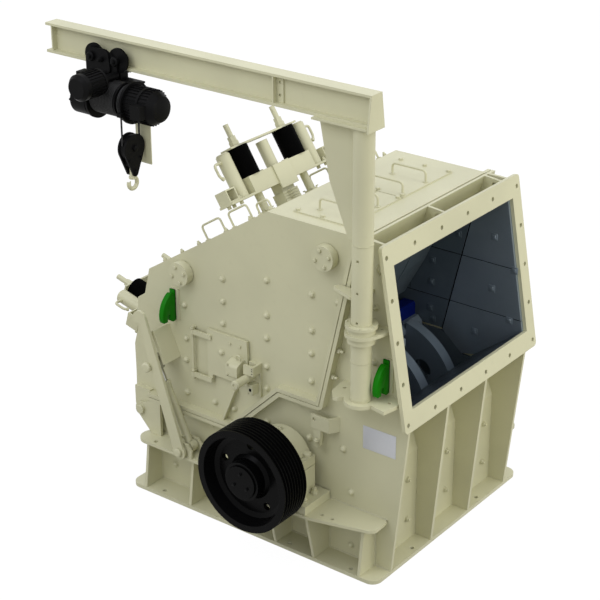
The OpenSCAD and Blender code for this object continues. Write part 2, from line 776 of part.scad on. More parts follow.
module inspection_door() {
    y0 = -side_y - 25;
    color(cream) {
        plate_xz([[-420, 915], [-379, 915], [-379, 975], [-95, 975], [-88, 1133], [-94, 1290], [-420, 1290]],
                 y0, 20);
        // hinge straps
        for (z = [917, 1221]) difference() {
            union() {
                box([-540, y0 - 12, z], [-381, y0, z + 34]);
                translate([door_pin[0], door_pin[1], z]) cylinder(h = 34, r = 18);
            }
            translate([door_pin[0], door_pin[1], z - 1]) cylinder(h = 36, r = 9);
        }
        // latch housing
        plate_out(concat([[25, 1046], [25, 1160], [44, 1160]], arc([84, 1122], 20, 70, 0, 6), [[104, 1066]],
                         arc([84, 1066], 20, 0, -90, 6)), -206, 94);
    }
}

// ---------------------------------------------------------------- jib and hoist

module jib_column() {
    top_t = 12;
    top_z = beam_z - top_t;
    color(cream) {
        difference() {
            translate([column_x, column_y, column_foot - 13])
                cylinder(h = top_z - column_foot + 13, r = column_d / 2);
            for (z = [1765, 1950, 2150])
                cyl_y([column_x + 10, z], column_y - column_d, column_y - column_d / 2 + 14, 8);
        }
        box([555, column_y - 80, top_z], [column_x + 69, column_y + 80, beam_z]);
        plate_xz([[548, top_z], [566, 2897], [630, 2572], [766, 2242], [column_x - 50, 2242],
                  [column_x - 50, top_z]], column_y - 8, 16);
    }
}

module jib_beam() {
    x0 = column_x - beam_reach;
    x1 = column_x + 69;
    w = beam_w / 2;
    web_low = beam_z + beam_flange;
    web_high = beam_z + beam_h - beam_flange;
    color(cream) {
        box([x0, column_y - w, beam_z], [x1, column_y + w, web_low]);
        box([x0, column_y - w, web_high], [x1, column_y + w, beam_z + beam_h]);
        box([x0, column_y - beam_web / 2, web_low], [x1, column_y + beam_web / 2, web_high]);
        // end plate, wider at its foot
        translate([x1, column_y, 0]) rotate([90, 0, 90]) linear_extrude(12)
            polygon([[-w - 30, beam_z - 23], [w + 30, beam_z - 23], [w, beam_z + beam_h], [-w, beam_z + beam_h]]);
        // end stops of the trolley
        box([x0 + 40, column_y - w + 6, web_low], [x0 + 50, column_y + w - 6, web_high]);
        difference() {
            union() {
                box([255, column_y - w + 4, web_low], [265, column_y + w - 4, web_high]);
                for (s = [-1, 1])
                    box([255, column_y + s * 10 - 5, web_low], [313, column_y + s * 10 + 5, web_high]);
            }
            for (z = [beam_z + 58, beam_z + 134])
                cyl_y([288, z], column_y - 20, column_y + 20, 9);
        }
    }
}

module hoist_trolley() {
    w = beam_w / 2;
    near = column_y - w;
    far = column_y + w;
    tread_r = 41.5;
    // outlines of the side plates
    plate_z = hoist_z + drum_r + 8;
    lobe = [[-1130, plate_z + 6], [-1130, 3038], [-1112, 3056], [-990, 3056], [-940, 3026], [-903, 2997],
            [-903, plate_z + 20], [-925, plate_z], [-990, plate_z]];
    front = concat([[-1148, 2894], [-1148, 3018]], arc([-1108, 3020], 40, 178, 90, 6),
                   arc([-1002, 3018], 44, 90, 0, 6), [[-950, 2940], [-978, 2894]]);
    color(black) {
        plate_xz(lobe, near - 30, 11);
        plate_xz(front, near - 42, 12);
        plate_xz([for (p = lobe) [p[0], min(p[1], 3044)]], far + 8, 10);
        for (x = wheel_xs) {
            // geared rim outside the flange, tread on it, and the axle through the plates
            cyl_y([x, wheel_z], near - 19, near - 5, 76);
            cyl_y([x, wheel_z], near - 5, column_y - beam_web / 2 - 12, tread_r);
            cyl_y([x, wheel_z], near - 52, near - 19, 18);
            cyl_y([x, wheel_z], column_y + beam_web / 2 + 12, far + 8, tread_r);
        }
        // bolts and distance tubes that join the plates below the beam
        for (p = [[-1015, 2997], [-1005, 2908]])
            cyl_y(p, near - 52, near - 30, 17);
        for (x = [-1104, -990, -930])
            cyl_y([x, beam_z - 34], near - 30, far + 18, 15);
        // travel motor: neck, flange, ribbed case and cap
        neck = [-912, 2913];
        cyl_y(neck, near - 182, near - 30, 24);
        cyl_y(neck, near - 196, near - 180, 80);
        cyl_y(neck, near - 318, near - 196, 76);
        cyl_y(neck, near - 350, near - 318, 82);
        translate([neck[0], near - 350, neck[1]]) rotate([90, 0, 0])
            cylinder(h = 24, r1 = 82, r2 = 62);
    }
}

module hoist_drum() {
    axis = [hoist_y, hoist_z];
    color(black) {
        // gear case, drum, rope guide and motor along one axis
        cyl_x(axis - [0, 46], -1178, -1060, 96);
        cyl_x(axis - [0, 10], -1060, -1030, 70);
        cyl_x(axis - [0, 25], -1030, -1014, 122);
        cyl_x(axis, -1014, -745, drum_r);
        cyl_x(axis, -806, -794, drum_r + 12);
        difference() {
            cyl_x(axis, -745, -729, 130);
            translate([rope_x, rope_y + rope_split, hoist_z - 140]) cylinder(h = 140, r = 12);
        }
        cyl_x(axis, -729, -640, 104);
        cyl_x(axis, -640, -621, 112);
        cyl_x(axis, -621, -560, 104);
        translate([-560, hoist_y, hoist_z]) rotate([0, 90, 0]) cylinder(h = 37, r1 = 104, r2 = 82);
        // terminal box on the motor
        box([-635, hoist_y - 150, hoist_z - 42], [-555, hoist_y - 90, hoist_z + 42]);
        // rope guide under the drum's end
        box([rope_x - 22, rope_y - rope_split - 14, rope_top], [rope_x + 12, hoist_y, rope_top + 26]);
        box([rope_x - 22, hoist_y, rope_top], [rope_x + 12, rope_y + rope_split + 34, rope_top + 26]);
        // hangers from the trolley's distance tubes to the drum's frame
        for (x = [-990, -930]) difference() {
            box([x - 22, column_y - beam_w / 2 + 4, hoist_z + 60], [x + 22, column_y + 20, beam_z - 12]);
            cyl_y([x, beam_z - 34], column_y - beam_w, column_y + beam_w, 15);
        }
        box([-1010, hoist_y + 40, hoist_z + 80], [-770, column_y + 20, hoist_z + 92]);
    }
}

module hoist_ropes() {
    low = block_z + 28;
    color(black) for (s = [-1, 1]) translate([rope_x, rope_y + s * rope_split, low])
        cylinder(h = rope_top - low - fit_gap, r = 6);
}

module hook_block() {
    pin_z = block_z - 156;
    cheek = concat(arc([0, block_z], 88, -30, 210, 24), arc([0, pin_z], 24, 220, 320, 6));
    color(black) {
        // two cheeks, the sheave between them, the spacers and the pin
        for (x = [-30, 18])
            translate([rope_x + x, rope_y, 0]) rotate([90, 0, 90]) linear_extrude(12) polygon(cheek);
        difference() {
            cyl_x([rope_y, block_z], rope_x - 18, rope_x + 18, 80);
            for (s = [-1, 1])
                translate([rope_x, rope_y + s * rope_split, block_z + 26]) cylinder(h = 100, r = 8);
        }
        box([rope_x - 18, rope_y - 40, block_z - 110], [rope_x + 18, rope_y + 40, block_z - 76]);
        cyl_x([rope_y, pin_z + 4], rope_x - 36, rope_x + 36, 16);
        cyl_x([rope_y, block_z], rope_x - 36, rope_x + 36, 22);
    }
}

module crane_hook() {
    pin_z = block_z - 152;
    bend_z = pin_z - 76;
    color(cream) translate([rope_x, rope_y, 0]) {
        difference() {
            translate([0, 0, pin_z - 44]) cylinder(h = 66, r = 17.5);
            cyl_x([0, pin_z], -40, 40, 16);
        }
        translate([0, 0, bend_z]) rotate([90, 0, 90]) rotate(-200) rotate_extrude(angle = 290)
            translate([36, 0]) circle(r = 13);
    }
}

// ---------------------------------------------------------------- opening gear

// Prop bar in the plane XZ, drawn along its own length from its foot
module prop_bar() {
    difference() {
        union() {
            circle(r = 52);
            polygon([[0, -46], [arm_len, -27], [arm_len, 40], [878, 34], [790, 34], [770, 44], [0, 44]]);
            translate([arm_len, 25]) circle(r = 52);
            polygon([[900, 20], [906, 76], [918, 86], [938, 86], [952, 70], [950, 20]]);
        }
        translate([880, 56]) circle(r = 24);
        circle(r = 22 + fit_gap);
    }
}

module lift_arms() {
    color(cream) both_sides() translate([arm_foot[0], -arm_y, arm_foot[1]]) rotate([90, 0, 0])
        linear_extrude(arm_t) rotate(arm_lean) prop_bar();
}

rod_dir = (lift_pin - cyl_foot) / norm(lift_pin - cyl_foot);
rod_run = norm(lift_pin - cyl_foot);

// Places its children on the lift cylinder's axis, that far from its foot
module along_rod(from) {
    p = cyl_foot + from * rod_dir;
    translate([p[0], -cyl_y, p[1]]) rotate([0, -acos(rod_dir[1]), 0]) children();
}

module lift_cylinders() {
    bore = 16 + fit_gap;
    color(cream) both_sides() difference() {
        union() {
            along_rod(36) cylinder(h = 404, r = 27);
            along_rod(420) cylinder(h = 24, r = 29);
            cyl_y(cyl_foot, -cyl_y - 28, -cyl_y + 28, 40);
        }
        cyl_y(cyl_foot, -cyl_y - 40, -cyl_y + 40, pin_r + fit_gap);
        along_rod(60) cylinder(h = 400, r = bore);
    }
}

module lift_rods() {
    slot = 20;
    eye_r = 34;
    a = lift_pin - slot * rod_dir;
    b = lift_pin + slot * rod_dir;
    color(steel) both_sides() {
        along_rod(90) cylinder(h = rod_run - slot - eye_r - 90 + 6, r = 16);
        difference() {
            link(a, b, eye_r, -cyl_y - 22, 44);
            link(a, b, pin_r + 1, -cyl_y - 23, 46);
        }
    }
}

// ---------------------------------------------------------------- drawing

base_flange();
color(cream) frame_side();  // frame_side_near
color(cream) mirror([0, 1, 0]) frame_side();  // frame_side_far
feed_end_wall();
rear_end_wall();
frame_ribs();
bearing_shelves();
lift_shelves();
split_flanges_fixed();
hinge_ears();
feed_hood();
feed_flange();
chute_floor();
chute_liner();
feed_liners();
bearing_body();  // bearing_near
mirror([0, 1, 0]) bearing_body();  // bearing_far
color(cream) jib_bracket_lower();
color(cream) jib_bracket_upper();
frame_clamps();
lifting_lugs_front();
rotor_shaft();
rotor_discs();
blow_bars();
drive_pulley();
color(cream) rear_side();  // rear_side_near
color(cream) mirror([0, 1, 0]) rear_side();  // rear_side_far
rear_roof();
rear_wall();
split_flanges_rear();
rear_liners();
pivot_caps();
front_curtain();
rear_curtain();
on_roof() adjuster();  // roof_adjuster
on_roof() adjuster_springs();  // roof_adjuster_springs
on_roof() adjuster_cylinders();  // roof_adjuster_cylinders
on_wall() adjuster();  // wall_adjuster
on_wall() adjuster_springs();  // wall_adjuster_springs
on_wall() adjuster_cylinders();  // wall_adjuster_cylinders
lifting_lugs_rear();
lift_brackets();
inspection_door();  // inspection_door_near
mirror([0, 1, 0]) inspection_door();  // inspection_door_far
jib_column();
jib_beam();
hoist_trolley();
hoist_drum();
hoist_ropes();
hook_block();
crane_hook();
lift_arms();
lift_cylinders();
lift_rods();
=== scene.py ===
"""Horizontal shaft impact crusher: the finishes, fasteners and fittings on its steel frame."""

from __future__ import annotations

import logging
import math
from dataclasses import dataclass
from enum import Enum
from functools import cache
from typing import Iterable, Mapping, Sequence, Union

import bmesh
import bpy
from mathutils import Matrix, Quaternion, Vector

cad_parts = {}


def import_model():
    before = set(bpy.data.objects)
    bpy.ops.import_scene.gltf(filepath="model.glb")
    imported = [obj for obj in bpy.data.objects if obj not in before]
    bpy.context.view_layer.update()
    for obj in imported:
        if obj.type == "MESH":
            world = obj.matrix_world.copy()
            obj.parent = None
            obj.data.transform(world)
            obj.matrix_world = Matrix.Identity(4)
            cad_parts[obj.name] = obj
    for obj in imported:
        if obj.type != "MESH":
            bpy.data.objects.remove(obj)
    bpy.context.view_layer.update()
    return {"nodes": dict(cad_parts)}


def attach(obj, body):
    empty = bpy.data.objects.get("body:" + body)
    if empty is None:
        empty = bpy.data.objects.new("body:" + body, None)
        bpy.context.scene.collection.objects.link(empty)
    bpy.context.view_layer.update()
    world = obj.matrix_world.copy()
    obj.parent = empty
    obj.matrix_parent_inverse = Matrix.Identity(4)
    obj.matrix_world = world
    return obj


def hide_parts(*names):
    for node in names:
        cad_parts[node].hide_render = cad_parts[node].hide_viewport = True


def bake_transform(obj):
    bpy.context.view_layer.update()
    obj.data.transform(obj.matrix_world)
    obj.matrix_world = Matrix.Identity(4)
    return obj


Point = tuple[float, float, float]
Spot = tuple[float, float]
Spots = tuple[Spot, ...]
Row = tuple[float, ...]
Colour = tuple[float, float, float]

LOG = logging.getLogger("crusher")
MM = 0.001

# Edges that turn by more than this, in radians, are eased and shaded as sharp.
SHARP_EDGE = 0.6

WHITE: Colour = (1.0, 1.0, 1.0)
COOL: Colour = (0.905, 0.92, 1.0)
WARM: Colour = (1.0, 0.97, 0.86)

# X runs towards the feed end, Y to the far side.
ORIGIN: Point = (0.0, 0.0, 0.0)
FORWARD: Point = (1.0, 0.0, 0.0)
BACK: Point = (-1.0, 0.0, 0.0)
UP: Point = (0.0, 0.0, 1.0)
DOWN: Point = (0.0, 0.0, -1.0)
OUT: Point = (0.0, -1.0, 0.0)
INWARD: Point = (0.0, 1.0, 0.0)

# Places in mm that several sub-assemblies share.
ROTOR_X = 235.0
ROTOR_Z = 625.0
SIDE_FACE = -680.0
PROP_PIN: Spot = (-546, 421)
LIFT_PIN: Spot = (-787, 973)
HOOK_X = -735.0
HOOK_Y = -985.0


class Wire:
    """A value inside a node tree, on which Python's operators add Math nodes."""

    def __init__(self, recipe: "Recipe", socket: bpy.types.NodeSocket) -> None:
        """Keeps the socket and the recipe that its nodes go into."""
        self.recipe = recipe
        self.socket = socket

    def _math(self, operation: str, *values: "Term") -> "Wire":
        """The result of a new Math node on these inputs."""
        return self.recipe.node("ShaderNodeMath", dict(enumerate(values)), operation=operation)

    def __add__(self, other: "Term") -> "Wire":
        """Sum of two values."""
        return self._math("ADD", self, other)

    def __radd__(self, other: "Term") -> "Wire":
        """Sum, with the number first."""
        return self._math("ADD", other, self)

    def __sub__(self, other: "Term") -> "Wire":
        """Difference of two values."""
        return self._math("SUBTRACT", self, other)

    def __rsub__(self, other: "Term") -> "Wire":
        """Difference, with the number first."""
        return self._math("SUBTRACT", other, self)

    def __mul__(self, other: "Term") -> "Wire":
        """Product of two values."""
        return self._math("MULTIPLY", self, other)

    def __rmul__(self, other: "Term") -> "Wire":
        """Product, with the number first."""
        return self._math("MULTIPLY", other, self)

    def either(self, other: "Term") -> "Wire":
        """The larger of two values."""
        return self._math("MAXIMUM", self, other)

    def output(self, name: Union[str, int]) -> "Wire":
        """Another output of the node that gave this value."""
        return Wire(self.recipe, self.socket.node.outputs[name])


Term = Union[Wire, float, Colour]
Sockets = Mapping[Union[str, int], Term]


class Recipe:
    """The node tree of a material or of the sky, built by Python expressions."""

    def __init__(self, owner: Union[bpy.types.Material, bpy.types.World]) -> None:
        """Starts an empty tree.

        Args:
            owner: the new material or sky that the tree belongs to.
        """
        owner.use_nodes = True
        self.owner = owner
        self.nodes = owner.node_tree.nodes
        self.links = owner.node_tree.links
        self.nodes.clear()

    def node(self, kind: str, sockets: Sockets | None = None, **settings: object) -> Wire:
        """Adds a node.

        Args:
            kind: the node's type.
            sockets: a number, a colour or a wire for each named or counted input.
            settings: the node's own settings, which are set first.

        Returns:
            The node's first output.
        """
        made = self.nodes.new(kind)
        for key, value in settings.items():
            setattr(made, key, value)
        for key, value in (sockets or {}).items():
            socket = made.inputs[key]
            if isinstance(value, Wire):
                self.links.new(value.socket, socket)
            else:
                socket.default_value = (*value, 1.0) if socket.type == "RGBA" else value
        return Wire(self, made.outputs[0])

    def noise(self, scale: float, detail: float) -> Wire:
        """Cloudy noise from 0 to 1 over the object, with `scale` patches a metre."""
        place = self.node("ShaderNodeTexCoord").output("Object")
        return self.node("ShaderNodeTexNoise", {"Vector": place, "Scale": scale, "Detail": detail})

    def ramp(self, value: Wire, low: float, high: float) -> Wire:
        """A mask that goes from 0 at `low` to 1 at `high`."""
        ends = {0: value, 1: low, 2: high}
        return self.node("ShaderNodeMapRange", ends, interpolation_type="SMOOTHSTEP")

    def mix(self, factor: Term, first: Term, second: Term) -> Wire:
        """Mixes two colours."""
        colours = {0: factor, 6: first, 7: second}
        return self.node("ShaderNodeMix", colours, data_type="RGBA").output(2)

    def bump(self, height: Wire, strength: float, distance: float, edge: float) -> Wire:
        """The normal of a surface with relief.

        Args:
            height: the relief, between 0 and 1.
            strength: how much of it shows.
            distance: how high it stands, in metres.
            edge: radius of the rounding on the piece's edges, in metres.

        Returns:
            The normal.
        """
        rounded = self.node("ShaderNodeBevel", {"Radius": edge}, samples=4)
        relief = {"Height": height, "Strength": strength, "Distance": distance, "Normal": rounded}
        return self.node("ShaderNodeBump", relief)

    def surface(self, **sockets: Term) -> bpy.types.Material:
        """Ends the tree in a Principled shader.

        Args:
            sockets: its inputs, with an underscore for each space.

        Returns:
            The finished material.
        """
        inputs = {name.replace("_", " "): value for name, value in sockets.items()}
        self.end(self.node("ShaderNodeBsdfPrincipled", inputs))
        return self.owner

    def end(self, shader: Wire, kind: str = "ShaderNodeOutputMaterial") -> None:
        """Links a shader to a new output node."""
        self.links.new(shader.socket, self.nodes.new(kind).inputs[0])


@dataclass(frozen=True)
class Paint:
    """Sprayed machine paint on steel, with faint clouding and specks of dust."""

    name: str
    colour: Colour
    slot: str
    roughness: float = 0.42
    clouding: float = 0.05
    edge: float = 0.003
    specular: float = 0.55
    cloud_scale: float = 1.3
    dust_scale: float = 24.0
    dust_share: float = 0.35
    dust_gloss: float = 0.12
    peel_scale: float = 260.0
    peel_strength: float = 0.05
    peel_height: float = 0.0004

    def make(self) -> bpy.types.Material:
        """Mixes the paint.

        Returns:
            Its material.
        """
        recipe = Recipe(bpy.data.materials.new(self.name))
        dust = recipe.noise(self.dust_scale, 4.0)
        shade = tuple(part * (1.0 - self.clouding * 2.0) for part in self.colour)
        clouds = recipe.ramp(recipe.noise(self.cloud_scale, 3.0), 0.35, 0.7)
        specks = recipe.ramp(dust, 0.55, 0.8) * self.dust_share
        peel = recipe.noise(self.peel_scale, 1.0)
        return recipe.surface(
            Base_Color=recipe.mix(specks, recipe.mix(clouds, self.colour, shade), shade),
            Roughness=self.roughness + (dust - 0.5) * self.dust_gloss,
            Normal=recipe.bump(peel, self.peel_strength, self.peel_height, self.edge),
            Specular_IOR_Level=self.specular,
        )


@dataclass(frozen=True)
class Steel:
    """Bare or blackened steel, rolled, cast or worn bright."""

    name: str
    colour: Colour
    worn: Colour
    slot: str
    roughness: float = 0.45
    metallic: float = 0.8
    grain: float = 60.0
    edge: float = 0.002
    specular: float = 0.3
    wear_scale: float = 3.5
    grain_gloss: float = 0.25
    grain_strength: float = 0.12
    grain_height: float = 0.0006

    def make(self) -> bpy.types.Material:
        """Makes the steel.

        Returns:
            Its material.
        """
        recipe = Recipe(bpy.data.materials.new(self.name))
        grain = recipe.noise(self.grain, 3.0)
        wear = recipe.ramp(recipe.noise(self.wear_scale, 5.0), 0.4, 0.75)
        return recipe.surface(
            Base_Color=recipe.mix(wear, self.colour, self.worn),
            Roughness=self.roughness + (grain - 0.5) * self.grain_gloss,
            Metallic=self.metallic,
            Normal=recipe.bump(grain, self.grain_strength, self.grain_height, self.edge),
            Specular_IOR_Level=self.specular,
        )


class Finish(Enum):
    """The finishes on the machine, each with what it is made of; the lighter and the darker liner
    finishes are one liner steel with painted light and painted shade.
    """

    CREAM = Paint("cream_paint", (0.6, 0.583, 0.38), "cream_paint")
    WELD = Paint(
        "weld_seam", (0.58, 0.563, 0.375), "cream_paint",
        roughness=0.5, clouding=0.08, edge=0.001,
    )
    BLACK = Paint(
        "black_paint", (0.006, 0.006, 0.006), "black_paint",
        roughness=0.4, clouding=0.1, edge=0.0015, specular=0.05,
    )
    GREEN = Paint(
        "green_paint", (0.008, 0.2, 0.003), "green_paint",
        roughness=0.35, clouding=0.1, specular=0.08,
    )
    BLUE = Paint(
        "blue_paint", (0.002, 0.008, 0.1), "blue_paint",
        roughness=0.35, clouding=0.1, specular=0.1,
    )
    PULLEY = Paint(
        "pulley_black", (0.003, 0.003, 0.003), "black_paint",
        roughness=0.28, clouding=0.1, edge=0.001, specular=0.05,
    )
    SPRING = Paint(
        "spring_cover", (0.002, 0.002, 0.002), "black_paint",
        roughness=0.6, clouding=0.1, edge=0.0005, specular=0.02,
    )
    LINER = Steel(
        "liner_steel", (0.1, 0.13, 0.15), (0.12, 0.15, 0.17), "liner_steel",
        roughness=0.42, metallic=0.35,
    )
    # The liner steel again, painted lighter: painted light for the lit far wall inside the feed
    # opening.
    LINER_PAINTED_LIT = Steel(
        "liner_steel_painted_lit", (0.25, 0.3, 0.34), (0.28, 0.33, 0.37), "liner_steel",
        roughness=0.4, metallic=0.6,
    )
    # The liner steel again, painted darker: painted shade for the chute floor deep in the opening.
    CHUTE = Steel(
        "liner_steel_painted_shade", (0.03, 0.04, 0.05), (0.05, 0.06, 0.07), "liner_steel",
        roughness=0.4, metallic=0.2,
    )
    ROTOR = Steel(
        "rotor_steel", (0.15, 0.19, 0.225), (0.18, 0.22, 0.255), "rotor_steel",
        metallic=0.25,
    )
    CHROME = Steel(
        "rod_chrome", (0.42, 0.42, 0.4), (0.5, 0.5, 0.48), "rod_chrome",
        roughness=0.22, metallic=0.9, grain=140.0,
    )
    ALUMINIUM = Steel(
        "blank_plate", (0.6, 0.61, 0.63), (0.66, 0.67, 0.69), "rod_chrome",
        roughness=0.5, metallic=0.2,
    )
    ROPE = Steel(
        "wire_rope", (0.012, 0.012, 0.012), (0.03, 0.03, 0.03), "wire_rope",
        roughness=0.5, metallic=0.2, grain=400.0,
    )

    @cache
    def material(self) -> bpy.types.Material:
        """The finish's material, which is made once."""
        return self.value.make()


class Body(Enum):
    """The bodies of the frame that new pieces ride on."""

    FRAME = "frame"
    REAR = "rear_frame"
    ROTOR = "rotor"
    DOOR_NEAR = "door_near"
    DOOR_FAR = "door_far"
    JIB = "jib"
    TROLLEY = "trolley"
    HOOK = "hook"
    CYLINDERS = "lift_cylinders"


def facing(along: Point) -> Quaternion:
    """The least turn that points Z along a direction."""
    return Vector(UP).rotation_difference(Vector(along))


def on_circle(x: float, y: float, radius: float, angles: Iterable[float]) -> list[Spot]:
    """Spots on a circle."""
    turns = [math.radians(angle) for angle in angles]
    return [(x + radius * math.cos(turn), y + radius * math.sin(turn)) for turn in turns]


def soften(points: Sequence[Point], radius: float, steps: int = 5) -> list[Vector]:
    """Rounds the corners of a path.

    Args:
        points: the path's corners in mm.
        radius: how far before and after a corner its bend starts and ends.
        steps: points in each bend.

    Returns:
        The rounded path.
    """
    corners = [Vector(point) for point in points]
    path = [corners[0]]
    for before, corner, after in zip(corners, corners[1:], corners[2:]):
        start = corner + (before - corner).normalized() * radius
        end = corner + (after - corner).normalized() * radius
        for step in range(steps + 1):
            share = step / steps
            path.append(start.lerp(corner, share).lerp(corner.lerp(end, share), share))
    path.append(corners[-1])
    return path


class Piece:
    """One new object in millimetres, gathered from simple shapes."""

    def __init__(self, name: str, body: Body, finish: Finish = Finish.CREAM) -> None:
        """Starts an empty piece.

        Args:
            name: the object's name.
            body: the body that it rides on.
            finish: what it is made of.
        """
        self.name = name
        self.body = body
        self.finish = finish
        self.mesh = bmesh.new()
        self.stretch: tuple[Body, Point, Point] | None = None

    def _add(
        self, part: bmesh.types.BMesh, at: Point = ORIGIN, along: Point = UP,
        roll: float = 0.0, bevel: float = 0.0,
    ) -> None:
        """Adds a shape that was made along Z at the origin.

        Args:
            part: the shape, used up here.
            at: where its origin goes.
            along: where its Z points.
            roll: its turn about that direction, in degrees.
            bevel: how far its sharp edges are cut back.
        """
        if bevel:
            whole = [edge for edge in part.edges if edge.is_manifold]
            sharp = [edge for edge in whole if edge.calc_face_angle() > SHARP_EDGE]
            bmesh.ops.bevel(
                part, geom=sharp, offset=bevel, segments=2, profile=0.5, affect="EDGES",
                clamp_overlap=True, material=-1,
            )
        turn = facing(along).to_matrix().to_4x4()
        spin = Matrix.Rotation(math.radians(roll), 4, "Z")
        bmesh.ops.transform(part, matrix=Matrix.Translation(at) @ turn @ spin, verts=part.verts)
        data = bpy.data.meshes.new("shape")
        part.to_mesh(data)
        part.free()
        self.mesh.from_mesh(data)
        bpy.data.meshes.remove(data)

    def lathe(
        self, profile: Sequence[Spot], at: Point, along: Point = UP, sides: int = 32
    ) -> None:
        """Adds a turned shape.

        Args:
            profile: radius and height of each point, from the axis back to the axis or closed.
            at: where the profile's zero height is.
            along: direction of its axis.
            sides: steps round the axis.
        """
        part = bmesh.new()
        points = [part.verts.new((radius, 0.0, height)) for radius, height in profile]
        edges = [part.edges.new(pair) for pair in zip(points, points[1:])]
        bmesh.ops.spin(
            part, geom=[*points, *edges], cent=ORIGIN, axis=UP, angle=math.tau, steps=sides,
            use_merge=True, use_duplicate=False,
        )
        # Where the profile meets the axis, each step has left a point of its own.
        bmesh.ops.remove_doubles(part, verts=part.verts, dist=0.001)
        bmesh.ops.recalc_face_normals(part, faces=part.faces)
        self._add(part, at, along)

    def block(
        self, at: Point, size: Point, along: Point = UP, roll: float = 0.0, bevel: float = 0.0
    ) -> None:
        """Adds a block.

        Args:
            at: its centre.
            size: lengths of its edges.
            along: where its third edge points.
            roll: its turn about that direction, in degrees.
            bevel: how far its edges are cut back.
        """
        part = bmesh.new()
        bmesh.ops.create_cube(part, size=1.0)
        bmesh.ops.scale(part, vec=size, verts=part.verts)
        self._add(part, at, along, roll, bevel)

    def span(self, low: Point, high: Point, bevel: float) -> None:
        """Adds a block between two corners."""
        middle = (Vector(low) + Vector(high)) / 2.0
        self.block(middle, Vector(high) - Vector(low), bevel=bevel)

    def plate(self, outline: Iterable[Spot], near: float, thick: float) -> None:
        """Adds a plate cut to an outline in X and Z, from its near face inwards."""
        self._slab([(x, near, z) for x, z in outline], (0.0, thick, 0.0))

    def cheek(self, outline: Iterable[Spot], left: float, thick: float) -> None:
        """Adds a plate cut to an outline in Y and Z, from its left face on, with eased edges."""
        self._slab([(left, y, z) for y, z in outline], (thick, 0.0, 0.0), 1.5)

    def _slab(self, corners: Sequence[Point], depth: Point, bevel: float = 0.0) -> None:
        """Adds a flat shape.

        Args:
            corners: the outline of its first face.
            depth: the way from its first face to its second.
            bevel: how far its edges are cut back.
        """
        part = bmesh.new()
        face = part.faces.new([part.verts.new(corner) for corner in corners])
        grown = bmesh.ops.extrude_face_region(part, geom=[face])
        moved = [item for item in grown["geom"] if isinstance(item, bmesh.types.BMVert)]
        bmesh.ops.translate(part, vec=depth, verts=moved)
        bmesh.ops.recalc_face_normals(part, faces=part.faces)
        self._add(part, bevel=bevel)

    def disc(
        self, at: Point, along: Point, radius: float, height: float,
        bevel: float = 1.0, sides: int = 28,
    ) -> None:
        """Adds a disc or pin.

        Args:
            at: the centre of its base.
            along: where it stands up to.
            radius: its radius.
            height: its height.
            bevel: how far its top edge is cut back.
            sides: steps round it.
        """
        edge = min(bevel, radius / 3.0, height / 3.0)
        wall = [(radius, 0.0), (radius, height - edge), (radius - edge, height)]
        self.lathe([(0.0, 0.0), *wall, (0.0, height)], at, along, sides)

    def ring(
        self, at: Point, along: Point, inner: float, outer: float, height: float, sides: int = 32
    ) -> None:
        """Adds a flat ring."""
        wall = [(outer, 0), (outer, height), (inner, height)]
        self.lathe([(inner, 0), *wall, (inner, 0)], at, along, sides)

    def hexagon(
        self, at: Point, along: Point, across: float, height: float, roll: float = 0.0
    ) -> None:
        """Adds a nut or a bolt's head, chamfered on top.

        Args:
            at: the centre of its base.
            along: where it stands up to.
            across: its width over two flats.
            height: its height.
            roll: its turn about that direction, in degrees.
        """
        part = bmesh.new()
        radius = across / math.sqrt(3.0)
        bmesh.ops.create_cone(
            part, cap_ends=True, segments=6, radius1=radius, radius2=radius, depth=height,
            matrix=Matrix.Translation((0.0, 0.0, height / 2.0)),
        )
        self._add(part, at, along, roll, height * 0.1)

    def bolt(self, at: Point, along: Point, across: float) -> None:
        """Adds a hexagon bolt's head on its washer."""
        self.disc(at, along, across * 0.62, across * 0.1)
        self.hexagon(Vector(at) + Vector(along) * across * 0.1, along, across, across * 0.42, 15.0)

    def stud(self, at: Point, along: Point, across: float, rise: float) -> None:
        """Adds a stud that stands `rise` out of its nut."""
        self.bolt(at, along, across)
        self.disc(at, along, across * 0.33, across * 0.52 + rise, 2.0, 14)

    def dome(self, at: Point) -> None:
        """Adds a round-headed liner bolt on its washer, on the near side.

        Args:
            at: the centre of its washer's back.
        """
        wide, rim, eased, radius, rise = 25.0, 4.0, 1.5, 20.0, 21.0
        washer = [(0.0, 0.0), (wide, 0.0), (wide, rim - eased), (wide - eased, rim)]
        arc = on_circle(0, 0, 1, range(0, 90, 15))
        head = [(radius * across, rim + (rise - rim) * up) for across, up in arc]
        self.lathe([*washer, *head, (0.0, rise)], at, OUT, 24)

    def tube(
        self, points: Sequence[Point], radius: float, bend: float = 0.0, sides: int = 12
    ) -> None:
        """Adds a round bar or hose.

        Args:
            points: the corners of its path.
            radius: its radius.
            bend: how far from a corner its bend starts, or zero to leave the corners as they are.
            sides: steps round it.
        """
        path = soften(points, bend) if bend else [Vector(point) for point in points]
        part = bmesh.new()
        # Each ring is turned from the one before it, so that the tube doesn't twist.
        heading = path[1] - path[0]
        turn = facing(heading)
        rings: list[list[bmesh.types.BMEdge]] = []
        for index, point in enumerate(path):
            ahead = path[min(index + 1, len(path) - 1)] - path[max(index - 1, 0)]
            turn = heading.rotation_difference(ahead) @ turn
            heading = ahead
            made = bmesh.ops.create_circle(
                part, cap_ends=index in (0, len(path) - 1), segments=sides, radius=radius,
                matrix=Matrix.Translation(point) @ turn.to_matrix().to_4x4(),
            )
            ring = set(made["verts"])
            rings.append([edge for edge in part.edges if ring.issuperset(edge.verts)])
        for first, second in zip(rings, rings[1:]):
            bmesh.ops.bridge_loops(part, edges=[*first, *second])
        bmesh.ops.recalc_face_normals(part, faces=part.faces)
        self._add(part)

